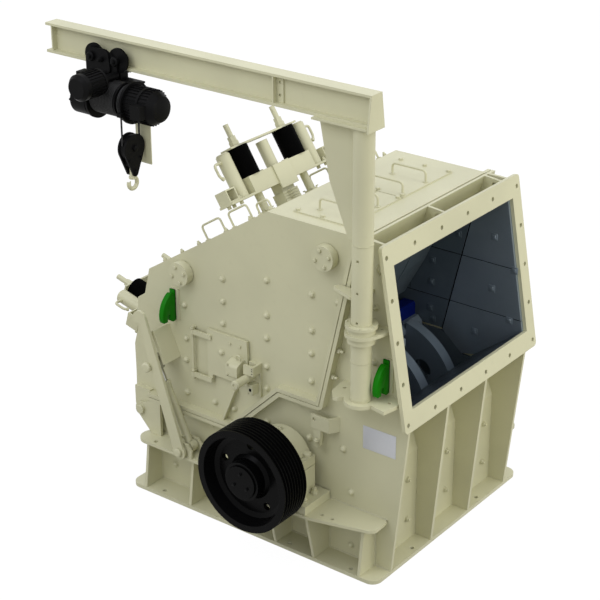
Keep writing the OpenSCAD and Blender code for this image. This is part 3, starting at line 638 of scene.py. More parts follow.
    def fins(
        self, at: Point, along: Point, length: float, radius: float, count: int
    ) -> None:
        """Adds cooling fins round a motor.

        Args:
            at: where its axis starts.
            along: direction of its axis.
            length: length of the fins.
            radius: the motor's radius.
            count: how many fins there are.
        """
        depth, thick, root = 8.0, 3.0, 3.0
        turn = facing(along)
        middle = Vector(at) + Vector(along) * length / 2.0
        for index in range(count):
            angle = math.tau * index / count
            side = turn @ Vector((math.cos(angle), math.sin(angle), 0.0))
            place = middle + side * (radius + depth / 2.0 - root)
            self.block(place, (depth + root * 2.0, thick, length), along, math.degrees(angle))

    def both_sides(self) -> "Piece":
        """Mirrors everything so far onto the far side.

        Returns:
            The piece.
        """
        everything = [*self.mesh.verts, *self.mesh.edges, *self.mesh.faces]
        bmesh.ops.mirror(self.mesh, geom=everything, axis="Y", merge_dist=0.0001)
        bmesh.ops.recalc_face_normals(self.mesh, faces=self.mesh.faces)
        return self

    def finish_off(self, *stands_for: str) -> None:
        """Turns the gathered shapes into an object that rides on its body; a piece with stretch
        ends set is left in place on no body.

        Args:
            stands_for: nodes of the frame that it replaces.
        """
        bmesh.ops.scale(self.mesh, vec=(MM, MM, MM), verts=self.mesh.verts)
        for face in self.mesh.faces:
            face.smooth = True
        for edge in self.mesh.edges:
            edge.smooth = not edge.is_manifold or edge.calc_face_angle() < SHARP_EDGE
        data = bpy.data.meshes.new(self.name)
        self.mesh.to_mesh(data)
        self.mesh.free()
        data.materials.append(self.finish.material())
        made = bpy.data.objects.new(self.name, data)
        bpy.context.scene.collection.objects.link(made)
        if stands_for:
            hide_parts(*stands_for)
        if self.stretch:
            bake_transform(made)
        else:
            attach(made, self.body.value)
        LOG.info("%s has %d faces", self.name, len(data.polygons))


@dataclass
class SidePlates:
    """Bolts, pivots and the blank plate on the two side walls."""

    face: float = SIDE_FACE
    fixed_bolts: Spots = (
        (860, 1787), (860, 1432), (640, 770), (701, 484), (379, 760), (45, 767), (-749, 170),
        (706, 100),
    )
    rear_bolts: Spots = (
        (-300, 1659), (52, 1744), (397, 1744), (592, 1746), (-299, 1505), (51, 1508), (397, 1506),
        (-303, 1351), (49, 1352), (394, 1351), (46, 1154), (394, 1161), (44, 1001), (-622, 1391),
        (-615, 1156), (-620, 1000), (-622, 761), (-384, 765), (-224, 768),
    )
    clamps: Spots = ((620, 1448), (577, 1260), (708, 1830))
    ledge_studs: Row = (-80, -640, -380)
    ledge_z: float = 625.0
    pivots: Spots = ((515, 2026), (-617, 1622))
    pivot_out: float = 62.0
    pivot_circle: float = 52.0
    blank: Spots = ((786, 830), (1026, 986))
    blank_thick: float = 3.0
    rivet_inset: float = 10.0

    def build(self) -> None:
        """Makes every fitting on the side walls."""
        self._liner_bolts()
        self._joint_bolts()
        self._pivot_bolts()
        self._blank_plate()

    def _liner_bolts(self) -> None:
        """Round-headed bolts that hold the liners."""
        rows = (("fixed", Body.FRAME, self.fixed_bolts), ("rear", Body.REAR, self.rear_bolts))
        for name, body, spots in rows:
            piece = Piece("liner_bolts_" + name, body)
            for x, z in spots:
                piece.dome((x, self.face, z))
            piece.both_sides().finish_off()

    def _joint_bolts(self) -> None:
        """Studs of the split flange, the clamps and the column brackets, and one rod loop."""
        piece = Piece("joint_bolts", Body.FRAME)
        near, far = self.face - 10, self.face - 32
        piece.stud((484, self.face - 66, 806), OUT, 28, 8)
        for x, z in self.clamps:
            piece.stud((x, far, z), FORWARD, 30, 22)
        for x in self.ledge_studs:
            piece.stud((x, self.face - 36, self.ledge_z), DOWN, 28, 14)
        piece.both_sides()
        piece.stud((863, near, 1791), OUT, 26, 12)
        piece.tube([(900, near, 2018), (900, far, 2018), (878, far, 2050), (878, near, 2062)], 6, 6)
        piece.finish_off()

    def _pivot_bolts(self) -> None:
        """Four bolts on the face of each curtain pivot."""
        piece = Piece("pivot_bolts", Body.REAR)
        for pivot in self.pivots:
            for x, z in on_circle(*pivot, self.pivot_circle, (20, 110, 200, 290)):
                piece.bolt((x, self.face - self.pivot_out, z), OUT, 23)
        piece.both_sides().finish_off()

    def _blank_plate(self) -> None:
        """A blank plate held by four rivets on the near side."""
        piece = Piece("blank_plate", Body.FRAME, Finish.ALUMINIUM)
        (left, low), (right, high) = self.blank
        front = self.face - self.blank_thick
        piece.span((left, front, low), (right, self.face, high), 1.0)
        for x in (left + self.rivet_inset, right - self.rivet_inset):
            for z in (low + self.rivet_inset, high - self.rivet_inset):
                piece.disc((x, front, z), OUT, 4, 2, 0.5, 12)
        piece.finish_off()


@dataclass
class LiftingLugs:
    """The four green hook plates, with a notch above and an open slot below."""

    face: float = 690.0
    front_x: float = 960.0
    rear_x: float = -703.0
    slot: Spot = (78, 1318)
    slot_radius: float = 12.0
    outer: Spots = (
        (22, 1448), (32, 1448), (36, 1464), (48, 1469), (62, 1464), (86, 1446), (104, 1426),
        (120, 1402), (131, 1372), (137, 1340), (136, 1308), (128, 1284), (92, 1282), (90, 1308),
    )
    inner: Spots = ((66, 1286), (42, 1268), (30, 1268), (10, 1272), (10, 1484), (20, 1484))
    foot: Spot = (1274, 1484)

    def build(self) -> None:
        """Makes the front pair on the frame and the rear pair on the rear frame."""
        slot = on_circle(*self.slot, self.slot_radius, (22.5 * step for step in range(9)))
        hook = [(10.0 - self.face - out, z) for out, z in (*self.outer, *slot, *self.inner)]
        low, high = self.foot
        ends = (("front", Body.FRAME, self.front_x), ("rear", Body.REAR, self.rear_x))
        for name, body, x in ends:
            piece = Piece("lug_plates_" + name, body, Finish.GREEN)
            piece.cheek(hook, x - 20, 36)
            piece.span((x - 28, -self.face - 10, low), (x + 16, -self.face, high), 1.5)
            piece.both_sides().finish_off("lifting_lugs_" + name)


@dataclass
class LowerFrame:
    """Fasteners of the base, the shelves and the bearings."""

    shelf: float = 385.0
    bearing_out: float = -930.0
    bearing_in: float = -730.0
    bearing_top: float = 198.0
    cap_reach: float = 195.0
    foot_reach: float = 255.0
    seal_circle: float = 126.0
    shelf_studs: Row = (110, 490)
    hinge_pin: Point = (-990, -752, 542)
    hinge_cap: Spots = ((0, 0), (33, 0), (33, 5), (28, 9), (0, 9))
    prop_out: float = -887.0
    prop_cap: Spots = ((0, 0), (27, 0), (27, 4), (22, 8), (0, 8))
    wall_x: float = 890.0
    wall_studs: Row = (-560, -340, -110, 110, 340, 560)
    wall_rows: Row = (190, 480)

    def build(self) -> None:
        """Makes every fitting low on the machine."""
        self._bearing_bolts()
        self._hinge_keepers()
        self._end_wall_bolts()

    def _bearing_bolts(self) -> None:
        """Cap bolts, foot studs, seal screws and plugs on both bearings."""
        piece = Piece("bearing_bolts", Body.FRAME)
        for y in (self.bearing_out + 45, self.bearing_in - 45):
            for side in (-1, 1):
                piece.bolt((ROTOR_X + side * self.cap_reach, y, ROTOR_Z + 63), UP, 52)
                piece.stud((ROTOR_X + side * self.foot_reach, y, self.shelf + 57), UP, 40, 24)
        for x in self.shelf_studs:
            piece.stud((x, self.bearing_out + 205, self.shelf), UP, 30, 14)
        eighths = (45.0 * step + 22.5 for step in range(8))
        for x, z in on_circle(ROTOR_X, ROTOR_Z, self.seal_circle, eighths):
            piece.bolt((x, self.bearing_out - 18, z), OUT, 16)
        top = ROTOR_Z + self.bearing_top
        for y in (self.bearing_out + 60, self.bearing_in - 60):
            piece.disc((ROTOR_X, y, top - 4), UP, 14, 12)
            piece.hexagon((ROTOR_X, y, top + 8), UP, 17, 9)
        piece.both_sides().finish_off()

    def _hinge_keepers(self) -> None:
        """Keeper plates on the hinge pins and the props' pins."""
        piece = Piece("hinge_keepers", Body.FRAME)
        piece.lathe(self.hinge_cap, self.hinge_pin, OUT)
        piece.lathe(self.prop_cap, (PROP_PIN[0], self.prop_out, PROP_PIN[1]), OUT)
        piece.both_sides().finish_off()

    def _end_wall_bolts(self) -> None:
        """Studs of the wear plates behind the end walls."""
        piece = Piece("end_wall_bolts", Body.FRAME)
        for y in self.wall_studs:
            for z in self.wall_rows:
                piece.stud((self.wall_x, y, z), FORWARD, 32, 12)
                piece.stud((-self.wall_x, y, z), BACK, 32, 12)
        piece.finish_off()


@dataclass
class FeedBox:
    """Bolts of the liners in the feed opening, near-black blocks in the gaps between them as
    painted shade, and the liners beside the rotor.
    """

    inner: float = 640.0
    fixed_bolts: Spots = ((859, 1794), (859, 1432), (744, 1088), (1000, 1240), (1020, 1600))
    rear_bolts: Spots = (
        (591, 1747), (399, 1513), (394, 1355), (393, 1164), (415, 1090), (120, 1450),
    )
    joint: float = 3.5
    joint_depth: float = 16.0
    sloped_joint: Spots = ((488, 1035), (496, 1035), (724, 2036), (716, 2036))
    joint_low: float = 1260.0
    joint_high: float = 1606.0
    liner_face: float = -660.0
    liner_thick: float = 16.0
    shaft_notch: float = 118.0
    upper_back: Spots = ((-205, 645), (-205, 628))
    upper_front: Spots = (
        (862, 628), (862, 660), (742, 890), (650, 892), (660, 1010), (484, 1022), (186, 1022),
    )
    lower_back: Spots = ((-840, 622), (-840, 60), (862, 60))

    def build(self) -> None:
        """Makes everything on both inner walls."""
        self._liner_bolts()
        self._shade_gaps()
        self._lower_liners()

    def _liner_bolts(self) -> None:
        """Recessed square-headed bolts of the liners."""
        # The fixed frame's liner bolts take the liner steel painted lighter, the painted light of
        # the far wall.
        fixed = Piece("feed_liner_bolts", Body.FRAME, Finish.LINER_PAINTED_LIT)
        rear = Piece("rear_liner_bolts", Body.REAR, Finish.LINER)
        for piece, spots in ((fixed, self.fixed_bolts), (rear, self.rear_bolts)):
            for x, z in spots:
                piece.block((x, self.inner - 1, z), (48, 48, 4), OUT, 0.0, 1.2)
                piece.block((x, self.inner - 4, z), (26, 26, 8), OUT, 8.0, 1.5)
            piece.both_sides().finish_off()

    def _shade_gaps(self) -> None:
        """Sets near-black blocks into the gaps between the liners, as painted shade where the gaps
        fall dark.
        """
        # The black spring-cover finish serves here as painted shade inside the liner gaps.
        fixed = Piece("feed_liner_gap_shade", Body.FRAME, Finish.SPRING)
        rear = Piece("rear_liner_gap_shade", Body.REAR, Finish.SPRING)
        near = self.inner + 4.0
        far = near + self.joint_depth
        fixed.plate(self.sloped_joint, near, self.joint_depth)
        levels = ((self.joint_low, -918, 540, 1082), (self.joint_high, -700, 620, 1020))
        for z, back, split, front in levels:
            fixed.span((split, near, z - self.joint), (front, far, z + self.joint), 0.0)
            rear.span((back, near, z - self.joint), (split - 10, far, z + self.joint), 0.0)
        uprights = (
            (-160, self.joint_low, self.joint_high),
            (227, self.joint_low, self.joint_high),
            (140, self.joint_high, 2130),
            (-460, 680, self.joint_low),
        )
        for x, low, high in uprights:
            rear.span((x - self.joint, near, low), (x + self.joint, far, high), 0.0)
        for piece in (fixed, rear):
            piece.both_sides().finish_off()

    def _lower_liners(self) -> None:
        """Side liners beside the rotor, in two halves round the shaft."""
        piece = Piece("lower_liners", Body.FRAME, Finish.LINER)
        notch = on_circle(ROTOR_X, 0, self.shaft_notch, range(0, 181, 15))
        above = [(x, ROTOR_Z + 3 + z) for x, z in reversed(notch)]
        below = [(x, ROTOR_Z - 3 - z) for x, z in notch]
        upper = [*self.upper_back, *above, *self.upper_front]
        lower = [(862, ROTOR_Z - 3), *below, *self.lower_back]
        for outline in (upper, lower):
            piece.plate(outline, self.liner_face, self.liner_thick)
        piece.both_sides().finish_off()


@dataclass
class RotorFittings:
    """Screws on the pulley's cover and the wedges that hold the blow bars."""

    cover: float = -1190.0
    screw_circle: float = 58.0
    rim: Spot = (112, 128)
    wedge: Point = (34, 180, 60)
    wedge_at: Spot = (-62.0, 452.0)
    wedge_rows: Row = (-317.0, 0.0, 317.0)

    def build(self) -> None:
        """Makes the rotor's fittings."""
        self._pulley_screws()
        self._bar_wedges()

    def _pulley_screws(self) -> None:
        """Three screws and a rim on the pulley's cover."""
        screws = Piece("pulley_screws", Body.ROTOR, Finish.BLACK)
        for x, z in on_circle(ROTOR_X, ROTOR_Z, self.screw_circle, (90, 210, 330)):
            screws.bolt((x, self.cover, z), OUT, 19)
        screws.ring((ROTOR_X, self.cover + 16, ROTOR_Z), OUT, *self.rim, 4)
        screws.finish_off()

    def _bar_wedges(self) -> None:
        """A row of wedges behind each of the four blow bars."""
        wedges = Piece("bar_wedges", Body.ROTOR, Finish.ROTOR)
        axis = Vector((ROTOR_X, 0.0, ROTOR_Z))
        for quarter in range(4):
            turn = Matrix.Rotation(math.radians(90.0 * quarter), 4, "Y")
            for y in self.wedge_rows:
                place = turn @ Vector((self.wedge_at[0], y, self.wedge_at[1])) + axis
                wedges.block(place, self.wedge, turn @ Vector(UP), 0, 5)
        wedges.finish_off()


@dataclass
class RoofFittings:
    """Covers' bolts, lifting handles and studs on the roof."""

    roof: float = 2196.0
    cover: float = 2204.0
    fold_x: float = 62.0
    slope: float = 32.78
    half_wall: float = 659.0
    eave: Spots = (
        (-888, 1577), (-914, 1560), (-920, 1530), (-898, 1512), (-888, 1526), (-890, 1552),
        (-876, 1566),
    )
    covers: Spots = ((-585, -24), (-16, 545))
    cover_bolts: Row = (206, 390, 570)
    handles: Row = (-480, -235, 30, 285)
    handle_ends: Spot = (305, 555)
    handle_rise: float = 74.0
    slope_studs: Row = (40, 230, 460, 730, 900, 1080)
    stud_y: float = -600.0
    loops: tuple[Point, ...] = ((120, 55, 70), (336, 88, 98), (594, 88, 98))
    loop_y: float = -560.0
    rod: float = 7.0
    foot: float = 17.0

    def build(self) -> None:
        """Makes everything that stands on the flat and the sloped roof."""
        self._cover_bolts()
        self._eave_strip()
        self._handles()
        self._slope_studs()

    def _eave_strip(self) -> None:
        """Closes the joint between the sloping roof and the back wall."""
        piece = Piece("eave_strip", Body.REAR)
        piece.plate(self.eave, -self.half_wall, self.half_wall * 2)
        piece.finish_off()

    def _cover_bolts(self) -> None:
        """Bolts along both edges of each cover."""
        piece = Piece("cover_bolts", Body.REAR)
        for low, high in self.covers:
            for x in self.cover_bolts:
                for y in (low + 20, high - 20):
                    piece.bolt((x, y, self.cover), UP, 26)
        piece.finish_off()

    def _handles(self) -> None:
        """Bent-rod handles on the covers."""
        piece = Piece("cover_handles", Body.REAR)
        left, right = self.handle_ends
        low, high = self.cover - 2, self.cover + self.handle_rise
        for y in self.handles:
            path = [(left, y, low), (left, y, high), (right, y, high), (right, y, low)]
            piece.tube(path, self.rod, 30)
            for x in (left, right):
                piece.disc((x, y, self.cover), UP, self.foot, 5)
        piece.finish_off()

    def _on_slope(self, down: float, y: float, out: float = 0.0) -> Vector:
        """A point of the sloped roof.

        Args:
            down: how far it is down the slope from the fold.
            y: how far it is across the machine.
            out: how far it stands out of the roof.

        Returns:
            The point.
        """
        turn = math.radians(self.slope)
        x = self.fold_x - down * math.cos(turn) - out * math.sin(turn)
        return Vector((x, y, self.roof - down * math.sin(turn) + out * math.cos(turn)))

    def _slope_studs(self) -> None:
        """Liner studs and rod loops along both edges of the sloped roof."""
        piece = Piece("slope_studs", Body.REAR)
        normal = self._on_slope(0, 0, 1) - self._on_slope(0, 0, 0)
        for down in self.slope_studs:
            piece.stud(self._on_slope(down, self.stud_y), normal, 24, 12)
        for down, half, rise in self.loops:
            low, high = (self._on_slope(down + side * half, self.loop_y) for side in (-1, 1))
            top = [self._on_slope(down + side * half, self.loop_y, rise) for side in (-1, 1)]
            piece.tube([low, *top, high], self.rod, 26)
            for foot in (low, high):
                piece.disc(foot, normal, self.foot, 6)
        piece.both_sides().finish_off()


@dataclass
class Adjuster:
    """Springs, nuts, hoses and shims of one curtain adjuster.

    Distances are along the plate upwards, across it and out of it.
    """

    name: str
    at: Point
    lean: float
    rod_y: float = 235.0
    outer_y: float = 380.0
    spring_out: float = 250.0
    spring_radius: float = 74.0
    spring_length: float = 200.0
    plate_studs: Spots = ((-36, 440), (36, 440), (0, 525))
    cap: Spots = ((0, 0), (41, 0), (41, 6), (36, 10), (0, 10))
    cap_out: float = 437.0
    hose_out: float = 400.0
    hose: Spots = ((64, 400), (104, 400), (104, 318), (84, 300))
    shims: Row = (12, 30, 48, 64)
    shim_loop: Point = (52, 82, 24)

    def point(self, up: float, across: float, out: float) -> Vector:
        """A point of the adjuster in the machine's frame.

        Args:
            up: how far it is up the plate.
            across: how far it is across the machine.
            out: how far it stands out.

        Returns:
            The point.
        """
        turn = math.radians(self.lean)
        x = up * math.cos(turn) - out * math.sin(turn)
        z = up * math.sin(turn) + out * math.cos(turn)
        return Vector(self.at) + Vector((x, across, z))

    def heading(self, up: float, across: float, out: float) -> Vector:
        """A direction of the adjuster in the machine's frame."""
        return self.point(up, across, out) - Vector(self.at)

    def build(self) -> None:
        """Makes the adjuster's fittings."""
        self._springs()
        self._nuts()
        self._hoses()
        self._shims()

    def _springs(self) -> None:
        """Ribbed covers over the disc springs."""
        piece = Piece(self.name + "_spring_covers", Body.REAR, Finish.SPRING)
        wide, long = self.spring_radius, self.spring_length
        ribs = [(wide + 1.0 if step % 2 else wide - 1.5, 4.0 + step * 3.2) for step in range(61)]
        profile = [(20.0, 0.0), (wide, 0.0), *ribs, (wide, long), (20.0, long), (20.0, 0.0)]
        for side in (-1, 1):
            at = self.point(0, side * self.rod_y, self.spring_out)
            piece.lathe(profile, at, self.heading(0, 0, 1), 48)
        piece.finish_off(self.name + "_springs")

    def _nuts(self) -> None:
        """Nuts under the lower plate, and rings on the cross beam."""
        piece = Piece(self.name + "_nuts", Body.REAR)
        out = self.heading(0, 0, 1)
        for side in (-1, 1):
            for up, across in self.plate_studs:
                piece.stud(self.point(up, side * across, 145), out, 24, 10)
                piece.hexagon(self.point(up, side * across, 110), out, 24, 20)
            piece.ring(self.point(0, side * 130, self.spring_out), out, 19, 24, 8, 24)
            for up in (-33, 33):
                for across in (33, -33):
                    piece.bolt(self.point(up, side * self.rod_y + across, 12), out, 15)
        piece.finish_off()

    def _hoses(self) -> None:
        """Caps on the outer cylinders, each with an elbow and a short hose."""
        caps = Piece(self.name + "_caps", Body.REAR)
        fittings = Piece(self.name + "_elbows", Body.REAR)
        for side in (-1, 1):
            y = side * self.outer_y
            away = self.heading(0, side, 0)
            caps.lathe(self.cap, self.point(0, y, self.cap_out), self.heading(0, 0, 1), 28)
            fittings.hexagon(self.point(0, y + side * 45, self.hose_out), away, 26, 14)
            fittings.disc(self.point(0, y + side * 59, self.hose_out), away, 10, 10)
            path = [self.point(0, y + side * reach, out) for reach, out in self.hose]
            fittings.tube(path, 9, 22)
            end = self.heading(0, -side * 0.7, -0.7)
            fittings.disc(self.point(0, y + side * 90, 306), end, 12, 16)
        caps.finish_off()
        fittings.finish_off()

    def _shims(self) -> None:
        """Wire loops on the shim plates."""
        piece = Piece(self.name + "_shim_loops", Body.REAR)
        low, high, half = self.shim_loop
        corners = ((low, -half), (high, -half), (high, half), (low, half))
        for out in self.shims:
            piece.tube([self.point(up, across, out) for up, across in corners], 3, 10, 8)
        piece.finish_off()


@dataclass
class Doors:
    """Fittings of both inspection doors and their switches."""

    panel: float = -705.0
    panel_bolts: Row = (-230, -150)
    strap_bolts: Row = (1070, 1140)
    liner_bolt: Spot = (-301, 1159)
    staple: Spots = ((-150, 1166), (-150, 1196), (-120, 1196), (-120, 1166))
    staple_y: float = -740.0
    barrel: Spots = ((0, 0), (30, 0), (30, 12), (26, 14), (26, 20), (12, 22), (12, 16), (0, 16))
    barrel_at: Point = (-54, -862, 1070)
    switch_face: float = -758.0
    pin_x: float = -540.0
    pin_ends: Row = (900, 1272)
    slots: Row = (1116, 1134, 1148)

    def build(self) -> None:
        """Makes the near door's fittings, and the far door's as their mirror image."""
        self._door_bolts("near", Body.DOOR_NEAR)
        self._door_bolts("far", Body.DOOR_FAR)
        self._lock_fittings()
        self._slot_shade()

    def _door_bolts(self, name: str, body: Body) -> None:
        """Bolts and a staple on a door.

        Args:
            name: the side that the door is on.
            body: the door.
        """
        piece = Piece("door_bolts_" + name, body)
        x, z = self.liner_bolt
        piece.dome((x, self.panel, z))
        for x in self.panel_bolts:
            piece.bolt((x, self.panel, 1240), OUT, 17)
        for z in self.strap_bolts:
            piece.bolt((-190, self.panel - 79, z), OUT, 14)
        piece.tube([(x, self.staple_y, z) for x, z in self.staple], 5, 9)
        # Mirroring turns the far door's fittings inside out, so their faces are turned out again.
        if body is Body.DOOR_FAR:
            bmesh.ops.scale(piece.mesh, vec=(1.0, -1.0, 1.0), verts=piece.mesh.verts)
            bmesh.ops.recalc_face_normals(piece.mesh, faces=piece.mesh.faces)
        piece.finish_off()

    def _lock_fittings(self) -> None:
        """Lock barrels, keepers' screws and pin heads beside the doors."""
        piece = Piece("lock_fittings", Body.REAR)
        piece.lathe(self.barrel, self.barrel_at, OUT)
        for z in (1090, 1045):
            piece.disc((-60, -700, z), BACK, 6, 10, 1, 12)
        for x in (-44, -14):
            for z in (970, 1020):
                piece.bolt((x, self.switch_face, z), OUT, 9)
        for z in self.pin_ends:
            piece.disc((self.pin_x, self.panel, z - 4), UP, 12, 8)
        piece.both_sides().finish_off()

    def _slot_shade(self) -> None:
        """Near-black strips on the faces of the switches, painted shade standing in for their
        slots.
        """
        # Black paint here is painted shade, in place of the dark inside of each slot.
        piece = Piece("switch_slot_shade", Body.REAR, Finish.BLACK)
        for z in self.slots:
            piece.span((-10, -769, z), (0, -767.5, z + 5), 0.4)
        piece.span((-38, self.switch_face - 1, 985), (-20, self.switch_face + 0.5, 1005), 0.4)
        piece.both_sides().finish_off()


@dataclass
class JibFittings:
    """Rings and bolts of the column, and the limit bar of the trolley."""

    axis_x: float = 860.0
    axis_y: float = -820.0
    collars: Row = (1260, 1500, 2235)
    collar_ring: Spot = (62, 64.5)
    limit_bar: tuple[Point, Point] = ((-787, -886, 2392), (-666, -878, 2708))
    sleeve_circle: float = 90.0
    sleeve_top: float = 1742.0

    def build(self) -> None:
        """Makes the jib's fittings."""
        rings = Piece("jib_bolts", Body.JIB)
        for z in self.collars:
            rings.ring((self.axis_x, self.axis_y, z), UP, *self.collar_ring, 4, 40)
        rings.finish_off()
        bar = Piece("limit_bar", Body.TROLLEY)
        bar.span(*self.limit_bar, 2)
        bar.finish_off()
        sleeve = Piece("sleeve_bolts", Body.FRAME)
        angles = (200, 250, 300, 350)
        for x, y in on_circle(self.axis_x, self.axis_y, self.sleeve_circle, angles):
            sleeve.bolt((x, y, self.sleeve_top), UP, 13)
        sleeve.finish_off()


@dataclass
class Hoist:
    """Rope, fins, bolts and covers of the hoist, its trolley and the hook block."""

    axis_y: float = -940.0
    axis_z: float = 2786.0
    near: float = -870.0
    beam: float = 2945.0
    windings: Spots = ((-1010, -814), (-786, -750))
    rope: float = 6.0
    drum: float = 98.0
    falls_high: float = 2725.0
    falls_low: float = 2546.0
    falls_apart: float = 75.0
    fins_at: Spots = ((-727, 84), (-619, 56))
    motor_radius: float = 104.0
    motor_cap: Spots = ((0, 0), (82, 0), (78, 8), (60, 14), (0, 16))
    gear_cap: Spots = ((0, 0), (92, 0), (92, 6), (86, 12), (0, 14))
    gear_z: float = 2740.0
    travel_x: float = -912.0
    travel_z: float = 2913.0
    plate_studs: Spots = ((-1015, 2997), (-1005, 2908))
    roller_studs: Row = (-1104, -990, -930)
    wheels: Row = (-1098, -902)
    wheel_z: float = 3003.0
    wheel_cap: Spots = ((0, 0), (30, 0), (30, 4), (24, 10), (0, 12))
    collar: Spots = ((0, 0), (22, 0), (24, 4), (24, 14), (20, 18), (0, 18))
    latch: Spots = ((-1006, 2306), (-1010, 2285), (-1000, 2262))

    def build(self) -> None:
        """Makes the hoist's fittings."""
        self._rope_turns()
        self._rope_falls()
        self._motors()
        self._trolley_bolts()
        self._block_bolts()
        self._hook_collar()

    def _rope_falls(self) -> None:
        """The two falls between drum and block."""
        piece = Piece("rope_falls", Body.TROLLEY, Finish.ROPE)
        high, low, steps = self.falls_high, self.falls_low, 40
        levels = [high + (low - high) * step / steps for step in range(steps + 1)]
        for y in (HOOK_Y - self.falls_apart, HOOK_Y + self.falls_apart):
            piece.tube([(HOOK_X, y, z) for z in levels], self.rope)
        start, end = ((HOOK_X * MM, HOOK_Y * MM, z * MM) for z in (high, low))
        piece.stretch = (Body.HOOK, start, end)
        piece.finish_off("hoist_ropes")

    def _rope_turns(self) -> None:
        """Turns of rope wound on the drum."""
        piece = Piece("rope_turns", Body.TROLLEY, Finish.ROPE)
        pitch = self.rope * 2
        for low, high in self.windings:
            turns = int((high - low) / pitch)
            profile = [(self.drum, 0.0), (self.drum + 2, 0.0)]
            for turn in range(turns):
                half = on_circle(0, 0, self.rope, range(0, 181, 45))
                middle = self.rope + turn * pitch
                profile += [(self.drum + 3 + out, middle - back) for back, out in half]
            long = turns * pitch
            profile += [(self.drum + 2, long), (self.drum, long), (self.drum, 0.0)]
            piece.lathe(profile, (low, self.axis_y, self.axis_z), FORWARD, 48)
        piece.finish_off()

    def _motors(self) -> None:
        """Fins, caps and bolts of the hoist motor and the travel motor."""
        piece = Piece("motor_fins", Body.TROLLEY, Finish.BLACK)
        for x, length in self.fins_at:
            at = (x, self.axis_y, self.axis_z)
            piece.fins(at, FORWARD, length, self.motor_radius, 30)
        piece.lathe(self.motor_cap, (-523, self.axis_y, self.axis_z), FORWARD)
        piece.lathe(self.gear_cap, (-1178, self.axis_y, self.gear_z), BACK)
        inner = on_circle(self.axis_y, self.gear_z, 80, range(0, 360, 60))
        outer = on_circle(self.axis_y, self.gear_z + 21, 110.4, range(0, 360, 60))
        for (near_y, near_z), (far_y, far_z) in zip(inner, outer):
            piece.bolt((-1191, near_y, near_z), BACK, 13)
            piece.bolt((-1029, far_y, far_z), BACK, 13)
        piece.fins((self.travel_x, self.near - 198, self.travel_z), OUT, 118, 76, 26)
        for x, z in on_circle(self.travel_x, self.travel_z, 72, (45, 135, 225, 315)):
            piece.bolt((x, self.near - 196, z), INWARD, 13)
        piece.span((-990, self.near - 290, 2935), (-950, self.near - 215, 2990), 4)
        piece.finish_off()

    def _trolley_bolts(self) -> None:
        """Studs, nuts and caps on the trolley's plates."""
        piece = Piece("trolley_bolts", Body.TROLLEY, Finish.BLACK)
        for x, z in self.plate_studs:
            piece.stud((x, self.near - 52, z), OUT, 26, 12)
        for x in self.roller_studs:
            piece.stud((x, self.near - 42, self.beam - 34), OUT, 24, 10)
            piece.stud((x, -752, self.beam - 34), INWARD, 24, 2)
        for x in self.wheels:
            piece.lathe(self.wheel_cap, (x, self.near - 52, self.wheel_z), OUT)
            piece.hexagon((x, self.near - 64, self.wheel_z), OUT, 24, 10)
        piece.finish_off()

    def _block_bolts(self) -> None:
        """Nuts and bolts on both faces of the hook block."""
        piece = Piece("block_bolts", Body.HOOK, Finish.BLACK)
        for side, along in ((-30, BACK), (30, FORWARD)):
            face = HOOK_X + side
            piece.hexagon((face, HOOK_Y, 2518), along, 36, 12)
            piece.hexagon((face, HOOK_Y, 2366), along, 26, 10)
            for y in (-48, 48):
                piece.bolt((face, HOOK_Y + y, 2450), along, 15)
        piece.finish_off()

    def _hook_collar(self) -> None:
        """The hook's collar and the wire of its latch."""
        piece = Piece("hook_collar", Body.HOOK)
        piece.lathe(self.collar, (HOOK_X, HOOK_Y, 2318))
        piece.tube([(HOOK_X, y, z) for y, z in self.latch], 4, 8, 8)
        piece.finish_off()


@dataclass
class LiftGear:
    """Glands and pin caps of the opening gear."""

    middle: float = -775.0
    foot: Spot = (-525, 432)
    gland: Spots = ((17, 0), (30, 0), (32, 4), (32, 14), (28, 20), (17, 22), (17, 0))
    gland_reach: float = 444.0
    ports: Row = (80, 410)
    pin_cap: Spots = ((0, 0), (34, 0), (34, 3), (26, 10), (0, 12))
    pin_out: float = -890.0
    prop_out: float = -878.0

    def build(self) -> None:
        """Makes the opening gear's fittings."""
        self._glands()
        caps = Piece("lift_pin_caps", Body.REAR)
        caps.lathe(self.pin_cap, (LIFT_PIN[0], self.pin_out, LIFT_PIN[1]), OUT)
        caps.both_sides().finish_off()
        feet = Piece("prop_pin_caps", Body.FRAME)
        feet.disc((PROP_PIN[0], self.prop_out, PROP_PIN[1]), OUT, 30, 14, 2)
        feet.both_sides().finish_off()

    def _glands(self) -> None:
        """A gland and two hose ports on each lift cylinder."""
        piece = Piece("cylinder_glands", Body.CYLINDERS)
        foot, pin = (Vector((x, self.middle, z)) for x, z in (self.foot, LIFT_PIN))
        run = (pin - foot).normalized()
        piece.lathe(self.gland, foot + run * self.gland_reach, run)
        for reach in self.ports:
            at = foot + run * reach + Vector((0.0, -24.0, 0.0))
            piece.hexagon(at, OUT, 20, 12)
            piece.disc(at + Vector((0.0, -12.0, 0.0)), OUT, 8, 10)
        piece.both_sides().finish_off()


@dataclass
class SplitSeal:
    """Sealing strips that lie in the gap between the two halves of the housing."""

    thick: float = 4.0
    width: float = 52.0
    middle: float = -709.0
    line: Spots = ((-900, 653), (-216, 653), (177, 1038), (491, 1038), (756, 2190))

    def build(self) -> None:
        """Lays a strip along each straight of the split."""
        piece = Piece("split_seal", Body.REAR)
        path = [Vector((x, self.middle, z)) for x, z in self.line]
        for start, end in zip(path, path[1:]):
            run = end - start
            size = (self.thick, self.width, run.length)
            piece.block((start + end) / 2, size, run.normalized(), 0.0, 0.8)
        piece.both_sides().finish_off()


